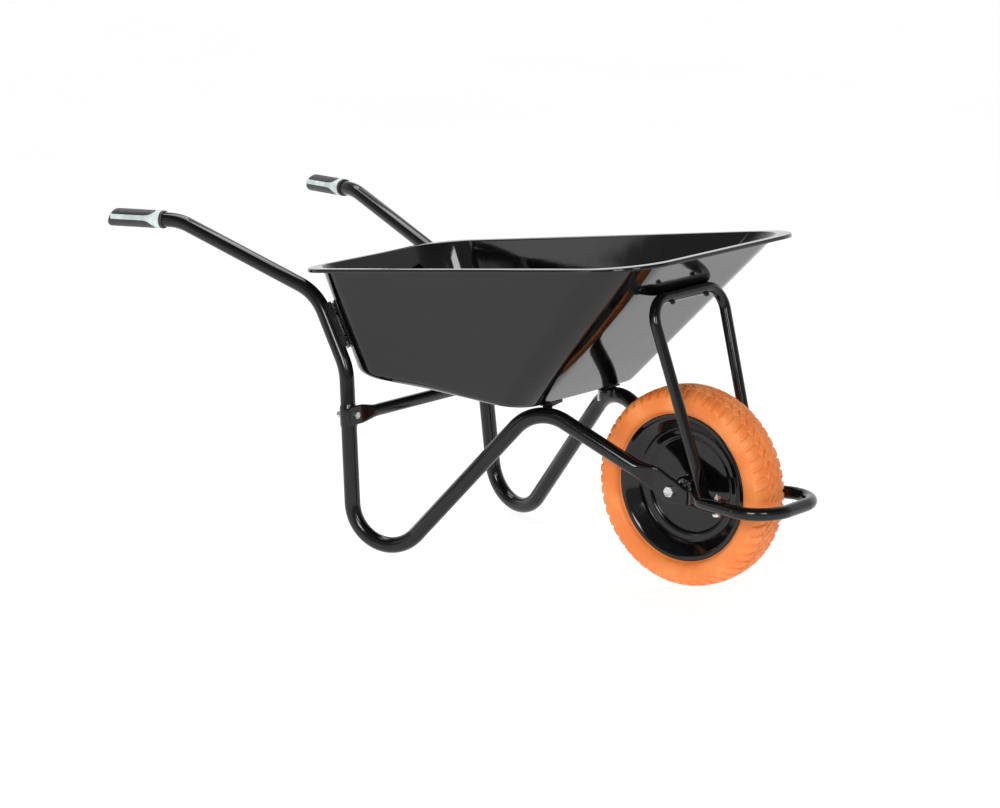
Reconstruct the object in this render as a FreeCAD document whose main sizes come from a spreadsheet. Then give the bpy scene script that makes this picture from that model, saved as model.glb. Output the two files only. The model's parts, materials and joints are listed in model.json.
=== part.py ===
import FreeCAD, Part
import Sketcher
import math
import os
from FreeCAD import Placement, Rotation, Vector

# A builder's wheelbarrow, in millimetres. +X is forward, +Y is the operator's left, +Z is up.
# The origin is on the ground, under the middle of the whole object.
# Places along the barrow are measured from the axle: "back" is behind it and "ahead" in front of it.
# "out" is the distance from the middle plane, and "high" is the height above the ground.

DIMENSIONS = [
    ("axle_ahead", 496.0, "axle, ahead of the origin"),
    # wheel
    ("tyre_radius", 195.0, "also the height of the axle"),
    ("tyre_width", 94.0, ""),
    ("rim_radius", 143.4, "outer edge of the rim's flange"),
    ("rim_width", 68.0, "over both flanges"),
    ("rim_seat", 134.0, "radius where the flange turns into the dish"),
    ("dish_radius", 110.0, "foot of the dish"),
    ("disc_radius", 91.0, "flat middle of the rim"),
    ("rim_sheet", 1.6, "rim sheet thickness"),
    ("hub_diameter", 40.0, ""),
    ("hub_length", 46.0, ""),
    ("bearing_outer", 32.0, "ball bearing outer diameter"),
    ("bearing_width", 10.0, ""),
    ("axle_diameter", 12.0, ""),
    # tubes
    ("leg_tube", 31.8, "outer diameter"),
    ("handle_tube", 30.0, "outer diameter"),
    ("socket_tube", 34.6, "outer diameter of the widened joint"),
    ("spigot_tube", 31.0, "outer diameter inside the socket"),
    ("hoop_tube", 25.0, "outer diameter"),
    ("stay_tube", 22.0, "outer diameter"),
    ("brace_tube", 25.0, "outer diameter"),
    ("tube_wall", 1.5, ""),
    # handle route
    ("grip_end_back", 1248.0, "rear end of the grips"),
    ("grip_end_out", 308.0, ""),
    ("grip_end_high", 628.0, ""),
    ("bend_back", 1083.8, "bend in front of the grip"),
    ("bend_out", 268.4, ""),
    ("bend_high", 631.0, ""),
    ("shoulder_back", 767.7, "bend beside the tray's rim"),
    ("shoulder_out", 209.5, ""),
    ("shoulder_high", 509.1, ""),
    ("knee_back", 689.4, "bend under the tray's rear wall"),
    ("knee_out", 211.1, ""),
    ("knee_high", 366.0, ""),
    ("bend_radius", 120.0, ""),
    ("shoulder_radius", 108.0, ""),
    ("knee_radius", 110.0, ""),
    # leg route, as the corners of its centre line before rounding
    ("foot_back", 650.0, ""),
    ("foot_out", 231.8, ""),
    ("foot_depth", 94.5, "corner below the ground, before rounding"),
    ("foot_radius", 82.6, ""),
    ("crest_back", 279.8, ""),
    ("crest_out", 121.1, ""),
    ("crest_high", 335.0, ""),
    ("crest_radius", 88.0, ""),
    # joint between handle and leg
    ("socket_top", 289.0, ""),
    ("socket_bottom", 252.0, ""),
    ("joint_bolt_high", 274.5, ""),
    ("joint_bolt", 8.0, "bolt diameter"),
    # axle end of the leg frame and the hoop
    ("plate_out", 65.0, "middle of the flattened ends"),
    ("plate_thickness", 7.4, ""),
    ("plate_slot", 3.2, "gap for the hoop's tongue"),
    ("tongue_thickness", 3.0, ""),
    ("hoop_high", 186.0, ""),
    ("hoop_front", 240.0, "front run, ahead of the axle"),
    ("hoop_corner_out", 112.0, "corner of the route before rounding"),
    ("hoop_start", 85.0, "where the hoop is round, ahead of the axle"),
    ("hoop_start_out", 78.5, ""),
    ("hoop_radius", 66.0, ""),
    # front stay
    ("stay_top_high", 566.0, ""),
    ("stay_top_back", 18.4, ""),
    ("stay_top_out", 116.5, "corner before rounding"),
    ("stay_foot_ahead", 91.5, ""),
    ("stay_foot_out", 85.4, ""),
    ("stay_radius", 45.0, ""),
    ("stay_squash_high", 262.0, "where the stay is still round"),
    ("stay_bolt_ahead", 120.0, ""),
    ("stay_bolt_out", 87.0, ""),
    ("stay_top_bolt_out", 55.0, ""),
    ("flat_thickness", 3.0, "squashed tube ends and bracket plates"),
    # tray
    ("rim_high", 652.6, "tray rim, above the axle"),
    ("rim_tilt", 6.82, "degrees, rising forward"),
    ("rim_front", 78.6, "outer edge, along the tilted rim"),
    ("rim_back", 821.8, ""),
    ("rim_front_half", 288.8, "half width at the front edge"),
    ("rim_rear_half", 234.2, "half width at the rear edge"),
    ("rim_front_corner", 105.0, ""),
    ("rim_rear_corner", 80.0, ""),
    ("rim_flange", 20.0, "width of the flat flange along the sides"),
    ("opening_front_corner", 110.0, "wall corner just under the flange"),
    ("opening_rear_corner", 88.0, ""),
    ("rim_lip", 8.0, "height of the turned-down lip"),
    ("sheet", 1.2, "tray sheet thickness"),
    ("floor_high", 325.9, "tray floor's underside, above the axle"),
    ("floor_tilt", 2.29, "degrees, falling forward"),
    ("floor_front", 262.2, "behind the axle"),
    ("floor_back", 712.0, "behind the axle"),
    ("floor_front_half", 196.0, ""),
    ("floor_rear_half", 201.0, ""),
    ("floor_front_corner", 57.0, ""),
    ("floor_rear_corner", 91.0, ""),
    ("floor_rounding", 24.0, "between floor and walls"),
    # grips
    ("grip_diameter", 36.8, ""),
    ("grip_length", 134.0, "with the collar"),
    ("grip_slant", 15.0, "how far the end's top lies ahead of its bottom"),
    ("collar_length", 9.0, ""),
    ("inlay_ring", 8.0, "length of the ring"),
    ("inlay_flare", 34.0, "length of the flare behind the ring"),
    ("inlay_stripe", 11.5, "width of the stripe"),
    ("inlay_depth", 2.0, ""),
    ("inlay_end", 15.0, "from the grip's end to the stripe's end"),
    ("inlay_lift", 3.5, "stripe's middle above the grip's middle"),
    # brackets and fasteners
    ("channel_length", 96.0, "rear tray bracket, along the handle tube"),
    ("channel_width", 28.0, ""),
    ("saddle_inner_out", 62.0, "inner end of the plate under the tray's front edge"),
    ("saddle_outer_out", 124.0, "its outer end"),
    ("saddle_length", 40.0, "along the barrow"),
    ("saddle_bolt_out", 80.0, ""),
    ("saddle_bolt_back", 281.0, "behind the axle"),
    ("tray_bolt", 6.0, "bolt diameter"),
    ("stay_bolt", 8.0, "bolt diameter"),
]

document = FreeCAD.newDocument("wheelbarrow")
sheet = document.addObject("Spreadsheet::Sheet", "Sizes")
for line, (alias, value, note) in enumerate(DIMENSIONS, start=1):
    sheet.set("A%d" % line, alias)
    sheet.set("B%d" % line, str(value))
    sheet.set("C%d" % line, note)
    sheet.setAlias("B%d" % line, alias)
document.recompute()


class Size:
    """A number that remembers the spreadsheet formula it comes from."""

    def __init__(self, value, text):
        self.value = value
        self.text = text

    def __float__(self):
        return self.value

    def __add__(self, other):
        other = as_size(other)
        return Size(self.value + other.value, "(%s + %s)" % (self.text, other.text))

    def __sub__(self, other):
        other = as_size(other)
        return Size(self.value - other.value, "(%s - %s)" % (self.text, other.text))

    def __mul__(self, other):
        other = as_size(other)
        return Size(self.value * other.value, "(%s * %s)" % (self.text, other.text))

    def __truediv__(self, other):
        other = as_size(other)
        return Size(self.value / other.value, "(%s / %s)" % (self.text, other.text))

    def __neg__(self):
        return Size(-self.value, "(-1 * %s)" % self.text)

    __radd__ = __add__

    def __rsub__(self, other):
        return as_size(other) - self

    def __rmul__(self, other):
        return self * other


def as_size(number):
    if isinstance(number, Size):
        return number
    text = "%g" % number
    return Size(float(number), text if number >= 0 else "(%s)" % text)


def size(alias):
    return Size(float(sheet.get(alias)), "Sizes.%s" % alias)


def mm(alias):
    return float(sheet.get(alias))


def bind(thing, **sizes):
    """Give each property of the object its formula."""
    for name, value in sizes.items():
        thing.setExpression(name, as_size(value).text)


AXLE_X = mm("axle_ahead")
AXLE_Z = mm("tyre_radius")
SIDES = {"right": -1, "left": 1}
CLEAR = 0.2          # radial play of a bolt in its hole


def place(ahead, left, high):
    """A point given from the axle, in the frame of the whole object."""
    return Vector(AXLE_X + ahead, left, high)


def turned(point, direction):
    """Placement at the point with its Z axis along the direction."""
    return Placement(point, Rotation(Vector(0, 0, 1), direction))


# ---------------------------------------------------------------- simple shapes

def cylinder(name, radius, height, point, direction):
    thing = document.addObject("Part::Cylinder", name)
    bind(thing, Radius=radius, Height=height)
    thing.Placement = turned(point, direction)
    return thing


def cone(name, radius_low, radius_high, height, point, direction):
    thing = document.addObject("Part::Cone", name)
    bind(thing, Radius1=radius_low, Radius2=radius_high, Height=height)
    thing.Placement = turned(point, direction)
    return thing


def box(name, length, width, height, placement):
    """A box with the middle of its bottom face at the placement."""
    thing = document.addObject("Part::Box", name)
    bind(thing, Length=length, Width=width, Height=height)
    middle = Vector(-float(as_size(length)) / 2, -float(as_size(width)) / 2, 0)
    thing.Placement = placement.multiply(Placement(middle, Rotation()))
    return thing


def solid(name, shape):
    thing = document.addObject("Part::Feature", name)
    thing.Shape = shape
    return thing


def fused(name, things):
    thing = document.addObject("Part::MultiFuse", name)
    thing.Shapes = things
    return thing


def cut(name, base, tool):
    thing = document.addObject("Part::Cut", name)
    thing.Base = base
    thing.Tool = tool
    return thing


def carved(name, base, tools):
    """The base with each tool cut away in turn."""
    for number, tool in enumerate(tools[:-1], start=1):
        base = cut("%s_step_%d" % (name, number), base, tool)
    return cut(name, base, tools[-1])


def group(name, things):
    thing = document.addObject("Part::Compound", name)
    thing.Links = things
    return thing


# ---------------------------------------------------------------- tubes

def rounded_route(points, radii):
    """A wire through the points, with an arc of the given radius at each inner point."""
    edges = []
    start = points[0]
    for index in range(1, len(points) - 1):
        before = (points[index - 1] - points[index]).normalize()
        after = (points[index + 1] - points[index]).normalize()
        half = before.getAngle(after) / 2
        reach = radii[index - 1] / math.tan(half)
        first = points[index] + before * reach
        last = points[index] + after * reach
        inward = (before + after).normalize()
        centre = points[index] + inward * (radii[index - 1] / math.sin(half))
        middle = centre - inward * radii[index - 1]
        edges.append(Part.LineSegment(start, first).toShape())
        edges.append(Part.Arc(first, middle, last).toShape())
        start = last
    edges.append(Part.LineSegment(start, points[-1]).toShape())
    return Part.Wire(edges)


def rod(name, route, radius):
    """A round bar along the route."""
    ring = document.addObject("Part::Circle", name + "_section")
    bind(ring, Radius=radius)
    first = route.Shape.Edges[0]
    direction = first.tangentAt(first.FirstParameter)
    ring.Placement = turned(route.Shape.Vertexes[0].Point, direction)
    thing = document.addObject("Part::Sweep", name)
    thing.Sections = [ring]
    thing.Spine = (route, ["Edge%d" % (n + 1) for n in range(len(route.Shape.Edges))])
    thing.Solid = True
    thing.Frenet = False
    return thing


def section(point, direction, across, half_width, half_thickness):
    """Closed outline of four edges: a circle, or the flattened oval of a squashed tube.

    "across" is the direction in which the tube is squashed thin."""
    direction = Vector(direction).normalize()
    across = Vector(across)
    across = (across - direction * across.dot(direction)).normalize()
    along = direction.cross(across)

    def spot(wide, thin):
        return point + along * wide + across * thin

    straight = half_width - half_thickness
    if straight < 0.01:
        slant = half_width / math.sqrt(2)
        corners = [spot(slant, slant), spot(-slant, slant), spot(-slant, -slant), spot(slant, -slant)]
        middles = [spot(0, half_width), spot(-half_width, 0), spot(0, -half_width), spot(half_width, 0)]
        arcs = [Part.Arc(corners[n], middles[n], corners[(n + 1) % 4]).toShape() for n in range(4)]
        return Part.Wire(arcs)
    corners = [spot(straight, half_thickness), spot(-straight, half_thickness),
               spot(-straight, -half_thickness), spot(straight, -half_thickness)]
    return Part.Wire([
        Part.LineSegment(corners[0], corners[1]).toShape(),
        Part.Arc(corners[1], spot(-half_width, 0), corners[2]).toShape(),
        Part.LineSegment(corners[2], corners[3]).toShape(),
        Part.Arc(corners[3], spot(half_width, 0), corners[0]).toShape(),
    ])


def squashed_end(name, sections):
    """The stretch in which a tube goes from round to flat."""
    thing = document.addObject("Part::Loft", name)
    thing.Sections = [solid("%s_outline_%d" % (name, n), wire) for n, wire in enumerate(sections)]
    thing.Solid = True
    thing.Ruled = True
    return thing


def flat_plate(name, outline, middle_out, thickness):
    """A plate parallel to the middle plane; the outline is (ahead of axle, height) pairs."""
    low = middle_out - thickness / 2
    points = [place(ahead, low, high) for ahead, high in outline]
    face = Part.Face(Part.makePolygon(points + points[:1]))
    return solid(name, face.extrude(Vector(0, thickness, 0)))


# ---------------------------------------------------------------- sketches

def plane_of(body, role):
    return [item for item in body.Origin.OriginFeatures if item.Role == role][0]


def new_sketch(body, name, role, offset=None):
    sketch = body.newObject("Sketcher::SketchObject", name)
    sketch.AttachmentSupport = [(plane_of(body, role), "")]
    sketch.MapMode = "FlatFace"
    if offset is not None:
        sketch.AttachmentOffset = offset
    return sketch


def pin_value(sketch, kind, edge, corner, value):
    """Fix one coordinate of a point, or a radius, by its formula."""
    if kind == "Radius":
        index = sketch.addConstraint(Sketcher.Constraint("Radius", edge, abs(float(value))))
    else:
        index = sketch.addConstraint(Sketcher.Constraint(kind, -1, 1, edge, corner, float(value)))
    sketch.setExpression("Constraints[%d]" % index, as_size(value).text)


def draw_polygon(sketch, points):
    """A closed outline whose corners are each fixed by two formulas."""
    first = sketch.GeometryCount
    count = len(points)
    spots = [Vector(float(across), float(up), 0) for across, up in points]
    for n in range(count):
        sketch.addGeometry(Part.LineSegment(spots[n], spots[(n + 1) % count]), False)
    for n in range(count):
        sketch.addConstraint(Sketcher.Constraint("Coincident", first + n, 2, first + (n + 1) % count, 1))
    for n, (across, up) in enumerate(points):
        pin_value(sketch, "DistanceX", first + n, 1, across)
        pin_value(sketch, "DistanceY", first + n, 1, up)


def draw_pan_outline(sketch, rear, front, rear_half, front_half, rear_corner, front_corner):
    """A tapered rectangle with round corners, symmetric about the sketch's X axis.

    Each corner is an arc fixed by its centre and radius; the straight sides touch two arcs."""
    corners = [(front - front_corner, front_half - front_corner, front_corner, 1, 1),
               (rear + rear_corner, rear_half - rear_corner, rear_corner, -1, 1),
               (rear + rear_corner, rear_corner - rear_half, rear_corner, -1, -1),
               (front - front_corner, front_corner - front_half, front_corner, 1, -1)]
    first = sketch.GeometryCount
    taper = math.atan2(float(front_half) - float(rear_half), float(front) - float(rear))
    quarter = math.pi / 2
    starts = [0, quarter + taper, 2 * quarter, 3 * quarter - taper]
    ends = [quarter + taper, 2 * quarter, 3 * quarter - taper, 4 * quarter]
    arcs = []
    for (across, up, radius, _, _), start, end in zip(corners, starts, ends):
        circle = Part.Circle(Vector(float(across), float(up), 0), Vector(0, 0, 1), float(radius))
        arcs.append(Part.ArcOfCircle(circle, start, end))
    for n in range(4):
        sketch.addGeometry(arcs[n], False)
        sketch.addGeometry(Part.LineSegment(arcs[n].EndPoint, arcs[(n + 1) % 4].StartPoint), False)
    for n in range(4):
        arc, side, following = first + 2 * n, first + 2 * n + 1, first + (2 * n + 2) % 8
        sketch.addConstraint(Sketcher.Constraint("Tangent", arc, 2, side, 1))
        sketch.addConstraint(Sketcher.Constraint("Tangent", side, 2, following, 1))
    for n, (across, up, radius, _, _) in enumerate(corners):
        pin_value(sketch, "Radius", first + 2 * n, 0, radius)
        pin_value(sketch, "DistanceX", first + 2 * n, 3, across)
        pin_value(sketch, "DistanceY", first + 2 * n, 3, up)


def revolved(name, points, placement):
    """A body turned from an outline of (along axis, radius) pairs."""
    body = document.addObject("PartDesign::Body", name)
    sketch = new_sketch(body, name + "_outline", "XY_Plane")
    draw_polygon(sketch, points)
    turn = body.newObject("PartDesign::Revolution", name + "_turn")
    turn.Profile = sketch
    turn.ReferenceAxis = (sketch, ["H_Axis"])
    turn.Angle = 360
    body.Placement = placement
    return body


ACROSS = Rotation(Vector(1, 0, 0), Vector(0, 1, 0))       # body X along the axle
WHEEL_PLACE = Placement(place(0, 0, AXLE_Z), ACROSS)


# ---------------------------------------------------------------- wheel

def rim_outline(side):
    """Half of the rim: flange, dish, step and flat disc, up to the middle plane."""
    flange = size("rim_width") / 2
    sheet_size = size("rim_sheet")
    foot = size("dish_radius")
    disc = size("disc_radius")
    seat = size("rim_seat")
    face = [(flange - 1.5, size("rim_radius")), (flange, size("rim_radius") - 1.2),
            (flange, seat + 1), (flange - 3, seat - 2), (size("rim_width") * 0.19, foot + 3),
            (size("rim_width") * 0.12, foot), (size("rim_width") * 0.1, disc + 6),
            (sheet_size, disc), (sheet_size, size("hub_diameter") / 2)]
    back = [(as_size(0), size("hub_diameter") / 2), (as_size(0), disc + 1.2),
            (size("rim_width") * 0.1 - sheet_size, disc + 7.4),
            (size("rim_width") * 0.12 - sheet_size, foot + 1.2),
            (size("rim_width") * 0.19 - sheet_size, foot + 4.3),
            (flange - 4.2, seat - 0.6), (flange - sheet_size, seat + 1.9),
            (flange - sheet_size, size("rim_radius") - 1.8)]
    return [(along * side, radius) for along, radius in face + back]


def rim_half(name, side):
    return revolved(name, rim_outline(side), WHEEL_PLACE)


def tyre():
    """Solid tyre: rounded shoulders, and a wedge inside that fills the groove of the rim."""
    half = size("tyre_width") / 2
    gap = 0.3
    seat_half = size("rim_width") / 2 - size("rim_sheet") - gap
    bead = size("rim_width") / 2 - 1
    crown = size("tyre_radius")
    outline = [
        (-seat_half, size("rim_seat") + 4), (-seat_half, size("rim_radius") + 1.5),
        (-bead, size("rim_radius") + 2), (-half + 2.5, crown - 38), (-half, crown - 26),
        (-half + 7, crown - 6), (-half + 16, crown - 1.5), (as_size(0), crown),
        (half - 16, crown - 1.5), (half - 7, crown - 6), (half, crown - 26),
        (half - 2.5, crown - 38), (bead, size("rim_radius") + 2),
        (seat_half, size("rim_radius") + 1.5), (seat_half, size("rim_seat") + 4),
        (seat_half - 3.2, size("rim_seat") + 1),
        (size("rim_width") * 0.19 - size("rim_sheet") - gap, size("dish_radius") + 6),
        (size("rim_width") * 0.12 - size("rim_sheet") - gap, size("dish_radius") + 3),
        (-size("rim_width") * 0.12 + size("rim_sheet") + gap, size("dish_radius") + 3),
        (-size("rim_width") * 0.19 + size("rim_sheet") + gap, size("dish_radius") + 6),
        (-seat_half + 3.2, size("rim_seat") + 1),
    ]
    return revolved("tyre", outline, WHEEL_PLACE)


def hub_tube():
    half = size("hub_length") / 2
    bore = size("bearing_outer") / 2
    web = half - size("bearing_width") - 1
    outline = [(-half, bore), (-half, size("hub_diameter") / 2), (half, size("hub_diameter") / 2),
               (half, bore), (web, bore), (web, bore - 3), (-web, bore - 3), (-web, bore)]
    return revolved("hub_tube", outline, WHEEL_PLACE)


def race_outline(inner, outer, start, width, groove, at_inner):
    """Cross-section of a bearing ring, with its ball groove as a shallow notch."""
    middle = start + width / 2
    if at_inner:
        return [(start, inner), (start + width, inner), (start + width, outer),
                (middle + 2.4, outer), (middle, outer - groove), (middle - 2.4, outer),
                (start, outer)]
    return [(start, inner), (middle - 2.4, inner), (middle, inner + groove),
            (middle + 2.4, inner), (start + width, inner), (start + width, outer),
            (start, outer)]


def bearings():
    """Two ball bearings: inner rings on the axle, outer rings in the hub, balls between."""
    width = size("bearing_width")
    half = size("hub_length") / 2
    bore = size("axle_diameter") / 2
    outside = size("bearing_outer") / 2
    inner_rings, outer_rings, balls = [], [], []
    for side, start in (("right", -half + 1), ("left", half - 1 - width)):
        inner = revolved("inner_ring_" + side,
                         race_outline(bore, bore + 2.9, start, width, 1.0, True), WHEEL_PLACE)
        outer = revolved("outer_ring_" + side,
                         race_outline(outside - 3.5, outside, start, width, 1.0, False), WHEEL_PLACE)
        inner_rings.append(inner)
        outer_rings.append(outer)
        groove_slope = math.atan2(1.0, 2.4)
        pitch = float(bore) + 1.9 + (BALL_RADIUS + 0.35) / math.cos(groove_slope)
        for n in range(BALLS):
            turn = 2 * math.pi * n / BALLS
            ball = document.addObject("Part::Sphere", "ball_%s_%d" % (side, n))
            ball.Radius = BALL_RADIUS
            middle = float(start) + float(width) / 2
            ball.Placement.Base = place(pitch * math.cos(turn), middle, AXLE_Z + pitch * math.sin(turn))
            balls.append(ball)
    return (group("bearing_inner_races", inner_rings), group("bearing_outer_races", outer_rings),
            group("bearing_balls", balls))


BALLS = 8
BALL_RADIUS = 2.4


# ---------------------------------------------------------------- fasteners

def hexagon(name, across_flats, height, point, direction):
    thing = document.addObject("Part::Prism", name)
    thing.Polygon = 6
    bind(thing, Circumradius=as_size(across_flats) / math.sqrt(3), Height=height)
    thing.Placement = turned(point, direction)
    return thing


def nut(name, diameter, height, point, direction):
    """A hexagon nut that starts at the point and lies along the direction."""
    body = hexagon(name + "_hexagon", diameter * NUT_FLATS, height, point, direction)
    bore = cylinder(name + "_bore", diameter / 2, height + 2, point - Vector(direction).normalize(),
                    direction)
    return cut(name, body, bore)


def hex_bolt(name, diameter, length, head, point, direction):
    """The head lies behind the point, and the shank goes along the direction."""
    direction = Vector(direction).normalize()
    cap = hexagon(name + "_head", diameter * NUT_FLATS, head, point, -direction)
    shank = cylinder(name + "_shank", diameter / 2, length, point, direction)
    return fused(name, [cap, shank])


def cup_bolt(name, diameter, length, point, direction):
    """A bolt with a low domed head."""
    direction = Vector(direction).normalize()
    head = document.addObject("Part::Cone", name + "_head")
    bind(head, Radius1=diameter * 1.1, Radius2=diameter * 0.6, Height=diameter * 0.45)
    head.Placement = turned(point, -direction)
    shank = cylinder(name + "_shank", diameter / 2, length, point, direction)
    return fused(name, [head, shank])


NUT_FLATS = 1.6      # width across flats, in bolt diameters


def hole(name, diameter, length, point, direction):
    """A cylinder, centred on the point, to be cut out for a bolt."""
    direction = Vector(direction).normalize()
    start = point - direction * (float(as_size(length)) / 2)
    return cylinder(name, diameter / 2 + CLEAR, length, start, direction)


# ---------------------------------------------------------------- handle and leg lines

def corner(prefix, side, depth=None):
    high = mm(prefix + "_high") if depth is None else -mm(depth)
    return place(-mm(prefix + "_back"), side * mm(prefix + "_out"), high)


def on_leg_line(side, high):
    """Point of the straight line from knee to foot at the given height."""
    knee = corner("knee", side)
    foot = corner("foot", side, "foot_depth")
    share = (high - knee.z) / (foot.z - knee.z)
    return knee + (foot - knee) * share


def leg_direction(side):
    return (corner("foot", side, "foot_depth") - corner("knee", side)).normalize()


GRIP_END_WALL = 4.0      # rubber behind the end of the tube


def handle_route(side):
    start = corner("grip_end", side)
    bend = corner("bend", side)
    inside = start + (bend - start).normalize() * (mm("grip_slant") + GRIP_END_WALL)
    return rounded_route(
        [inside, bend, corner("shoulder", side), corner("knee", side),
         on_leg_line(side, mm("socket_top") + 8)],
        [mm("bend_radius"), mm("shoulder_radius"), mm("knee_radius")])


SQUASH_BACK = 78.0       # where the leg tube is still round, behind the axle
PLATE_BACK = 34.0        # where it is flat


def squash_start(side):
    """Where the falling run of the leg tube starts to flatten."""
    crest = corner("crest", side)
    target = place(0, side * mm("plate_out"), AXLE_Z)
    share = (place(-SQUASH_BACK, 0, 0).x - crest.x) / (target.x - crest.x)
    return crest + (target - crest) * share


def leg_route(side):
    return rounded_route(
        [on_leg_line(side, mm("socket_bottom") - 1), corner("foot", side, "foot_depth"),
         corner("crest", side), squash_start(side)],
        [mm("foot_radius"), mm("crest_radius")])


def joint_bolt_point(side):
    return on_leg_line(side, mm("joint_bolt_high"))


def joint_axis():
    """Direction of the joint bolts: square to the legs and to the cross brace."""
    return Vector(0, -1, 0).cross(leg_direction(1)).normalize()


def joint_hole(name, side):
    return hole(name, size("joint_bolt"), 80, joint_bolt_point(side), joint_axis())


# ---------------------------------------------------------------- handles, grips, inlays

def handle_tube(side_name):
    side = SIDES[side_name]
    name = "handle_tube_" + side_name
    route = solid(name + "_route", handle_route(side))
    down = leg_direction(side)
    radius = size("handle_tube") / 2
    wide = size("socket_tube") / 2
    top = on_leg_line(side, mm("socket_top") + 8)
    shoulder = on_leg_line(side, mm("socket_top"))
    length = (shoulder - on_leg_line(side, mm("socket_bottom"))).Length
    flare = (shoulder - top).Length
    outside = fused(name + "_outside", [
        rod(name + "_bar", route, radius),
        cone(name + "_flare", radius, wide, flare, top, down),
        cylinder(name + "_socket", wide, length, shoulder, down)])
    inside = fused(name + "_inside", [
        rod(name + "_bore", route, radius - size("tube_wall")),
        cone(name + "_inner_flare", radius - size("tube_wall"), size("spigot_tube") / 2 + 0.1, flare,
             top, down),
        cylinder(name + "_inner_socket", size("spigot_tube") / 2 + 0.1, length + 1, shoulder, down),
        joint_hole(name + "_joint_hole", side)])
    return cut(name, outside, inside)


def grip_placement(side):
    """Body X runs from the grip's rear end forward along the tube."""
    start = corner("grip_end", side)
    forward = (corner("bend", side) - start).normalize()
    left = Vector(0, 0, 1).cross(forward).normalize()
    up = forward.cross(left)
    return Placement(start, Rotation(forward, left, up, "XYZ"))


def inlay_outline(body, name):
    """Outline seen from the side: a stripe that flares into the ring behind the collar."""
    ring_front = size("grip_length") - size("collar_length")
    ring_back = ring_front - size("inlay_ring")
    flare = size("inlay_flare")
    middle = size("inlay_lift")
    stripe = size("inlay_stripe") / 2
    wide = size("grip_diameter") / 2 + 1
    # (distance behind the ring, half width of the flare there)
    flares = [(flare, stripe), (flare * 0.65, stripe + 0.8), (flare * 0.35, stripe + 3.4),
              (flare * 0.12, stripe + 7.5)]
    lower = [(ring_back - behind, middle - half) for behind, half in flares]
    upper = [(ring_back - behind, middle + half) for behind, half in reversed(flares)]
    points = [(size("inlay_end"), middle - stripe)] + lower + [
        (ring_back, -wide), (ring_front, -wide), (ring_front, wide), (ring_back, wide)] + upper + [
        (size("inlay_end"), middle + stripe)]
    sketch = new_sketch(body, name, "XZ_Plane")
    draw_polygon(sketch, points)
    return sketch


def inlay_body(name, side):
    """The ring, its flares and the two stripes, cut through the whole grip."""
    body = document.addObject("PartDesign::Body", name)
    sketch = inlay_outline(body, name + "_outline")
    pad = body.newObject("PartDesign::Pad", name + "_pad")
    pad.Profile = sketch
    pad.Midplane = True
    bind(pad, Length=size("grip_diameter") + 10)
    body.Placement = grip_placement(side)
    return body


def grips(side_name):
    """Rubber sleeve with a closed slanted end, and the pale inlay let into it."""
    side = SIDES[side_name]
    where = grip_placement(side)
    radius = size("grip_diameter") / 2
    length = size("grip_length")
    slant = size("grip_slant")
    bore = size("handle_tube") / 2
    tube_end = slant + GRIP_END_WALL
    proud = 0.15
    name = "grip_" + side_name
    outline = [(as_size(0), as_size(0)), (as_size(0), radius - 3), (as_size(3), radius),
               (length - 1.5, radius), (length, radius - 1.2), (length, bore), (tube_end, bore),
               (tube_end, as_size(0))]
    sleeve = revolved(name + "_sleeve", outline, where)
    lean = math.atan2(float(slant), 2 * float(radius))
    behind = where.multiply(Placement(Vector(0, 0, -float(radius)), Rotation(Vector(0, 1, 0),
                                                                              math.degrees(lean))))
    end_cut = box(name + "_end_cut", 60, 60, 60, behind.multiply(Placement(Vector(-30, 0, -5), Rotation())))
    slanted = cut(name + "_slanted", sleeve, end_cut)
    band = revolved(name + "_band", [
        (size("inlay_end"), radius - size("inlay_depth")),
        (length - size("collar_length"), radius - size("inlay_depth")),
        (length - size("collar_length"), radius + proud), (size("inlay_end"), radius + proud)], where)
    shape = inlay_body(name + "_inlay_shape", side)
    inlay = document.addObject("Part::MultiCommon", "grip_inlay_" + side_name)
    inlay.Shapes = [band, shape]
    return cut(name, slanted, inlay), inlay


# ---------------------------------------------------------------- leg frames, hoop, stay, brace

def leg_plate_outline():
    """Flattened end of the leg tube, seen from the side: (ahead of axle, height)."""
    return [(-PLATE_BACK - 10.2, AXLE_Z - 4.2), (-24, AXLE_Z - 15), (-9, AXLE_Z - 23), (4, AXLE_Z - 24.5),
            (36, AXLE_Z - 22.5), (38, AXLE_Z - 20), (38, AXLE_Z + 6), (34, AXLE_Z + 11),
            (10, AXLE_Z + 24.5), (-8, AXLE_Z + 32), (-PLATE_BACK + 10.2, AXLE_Z + 38.4)]


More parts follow.
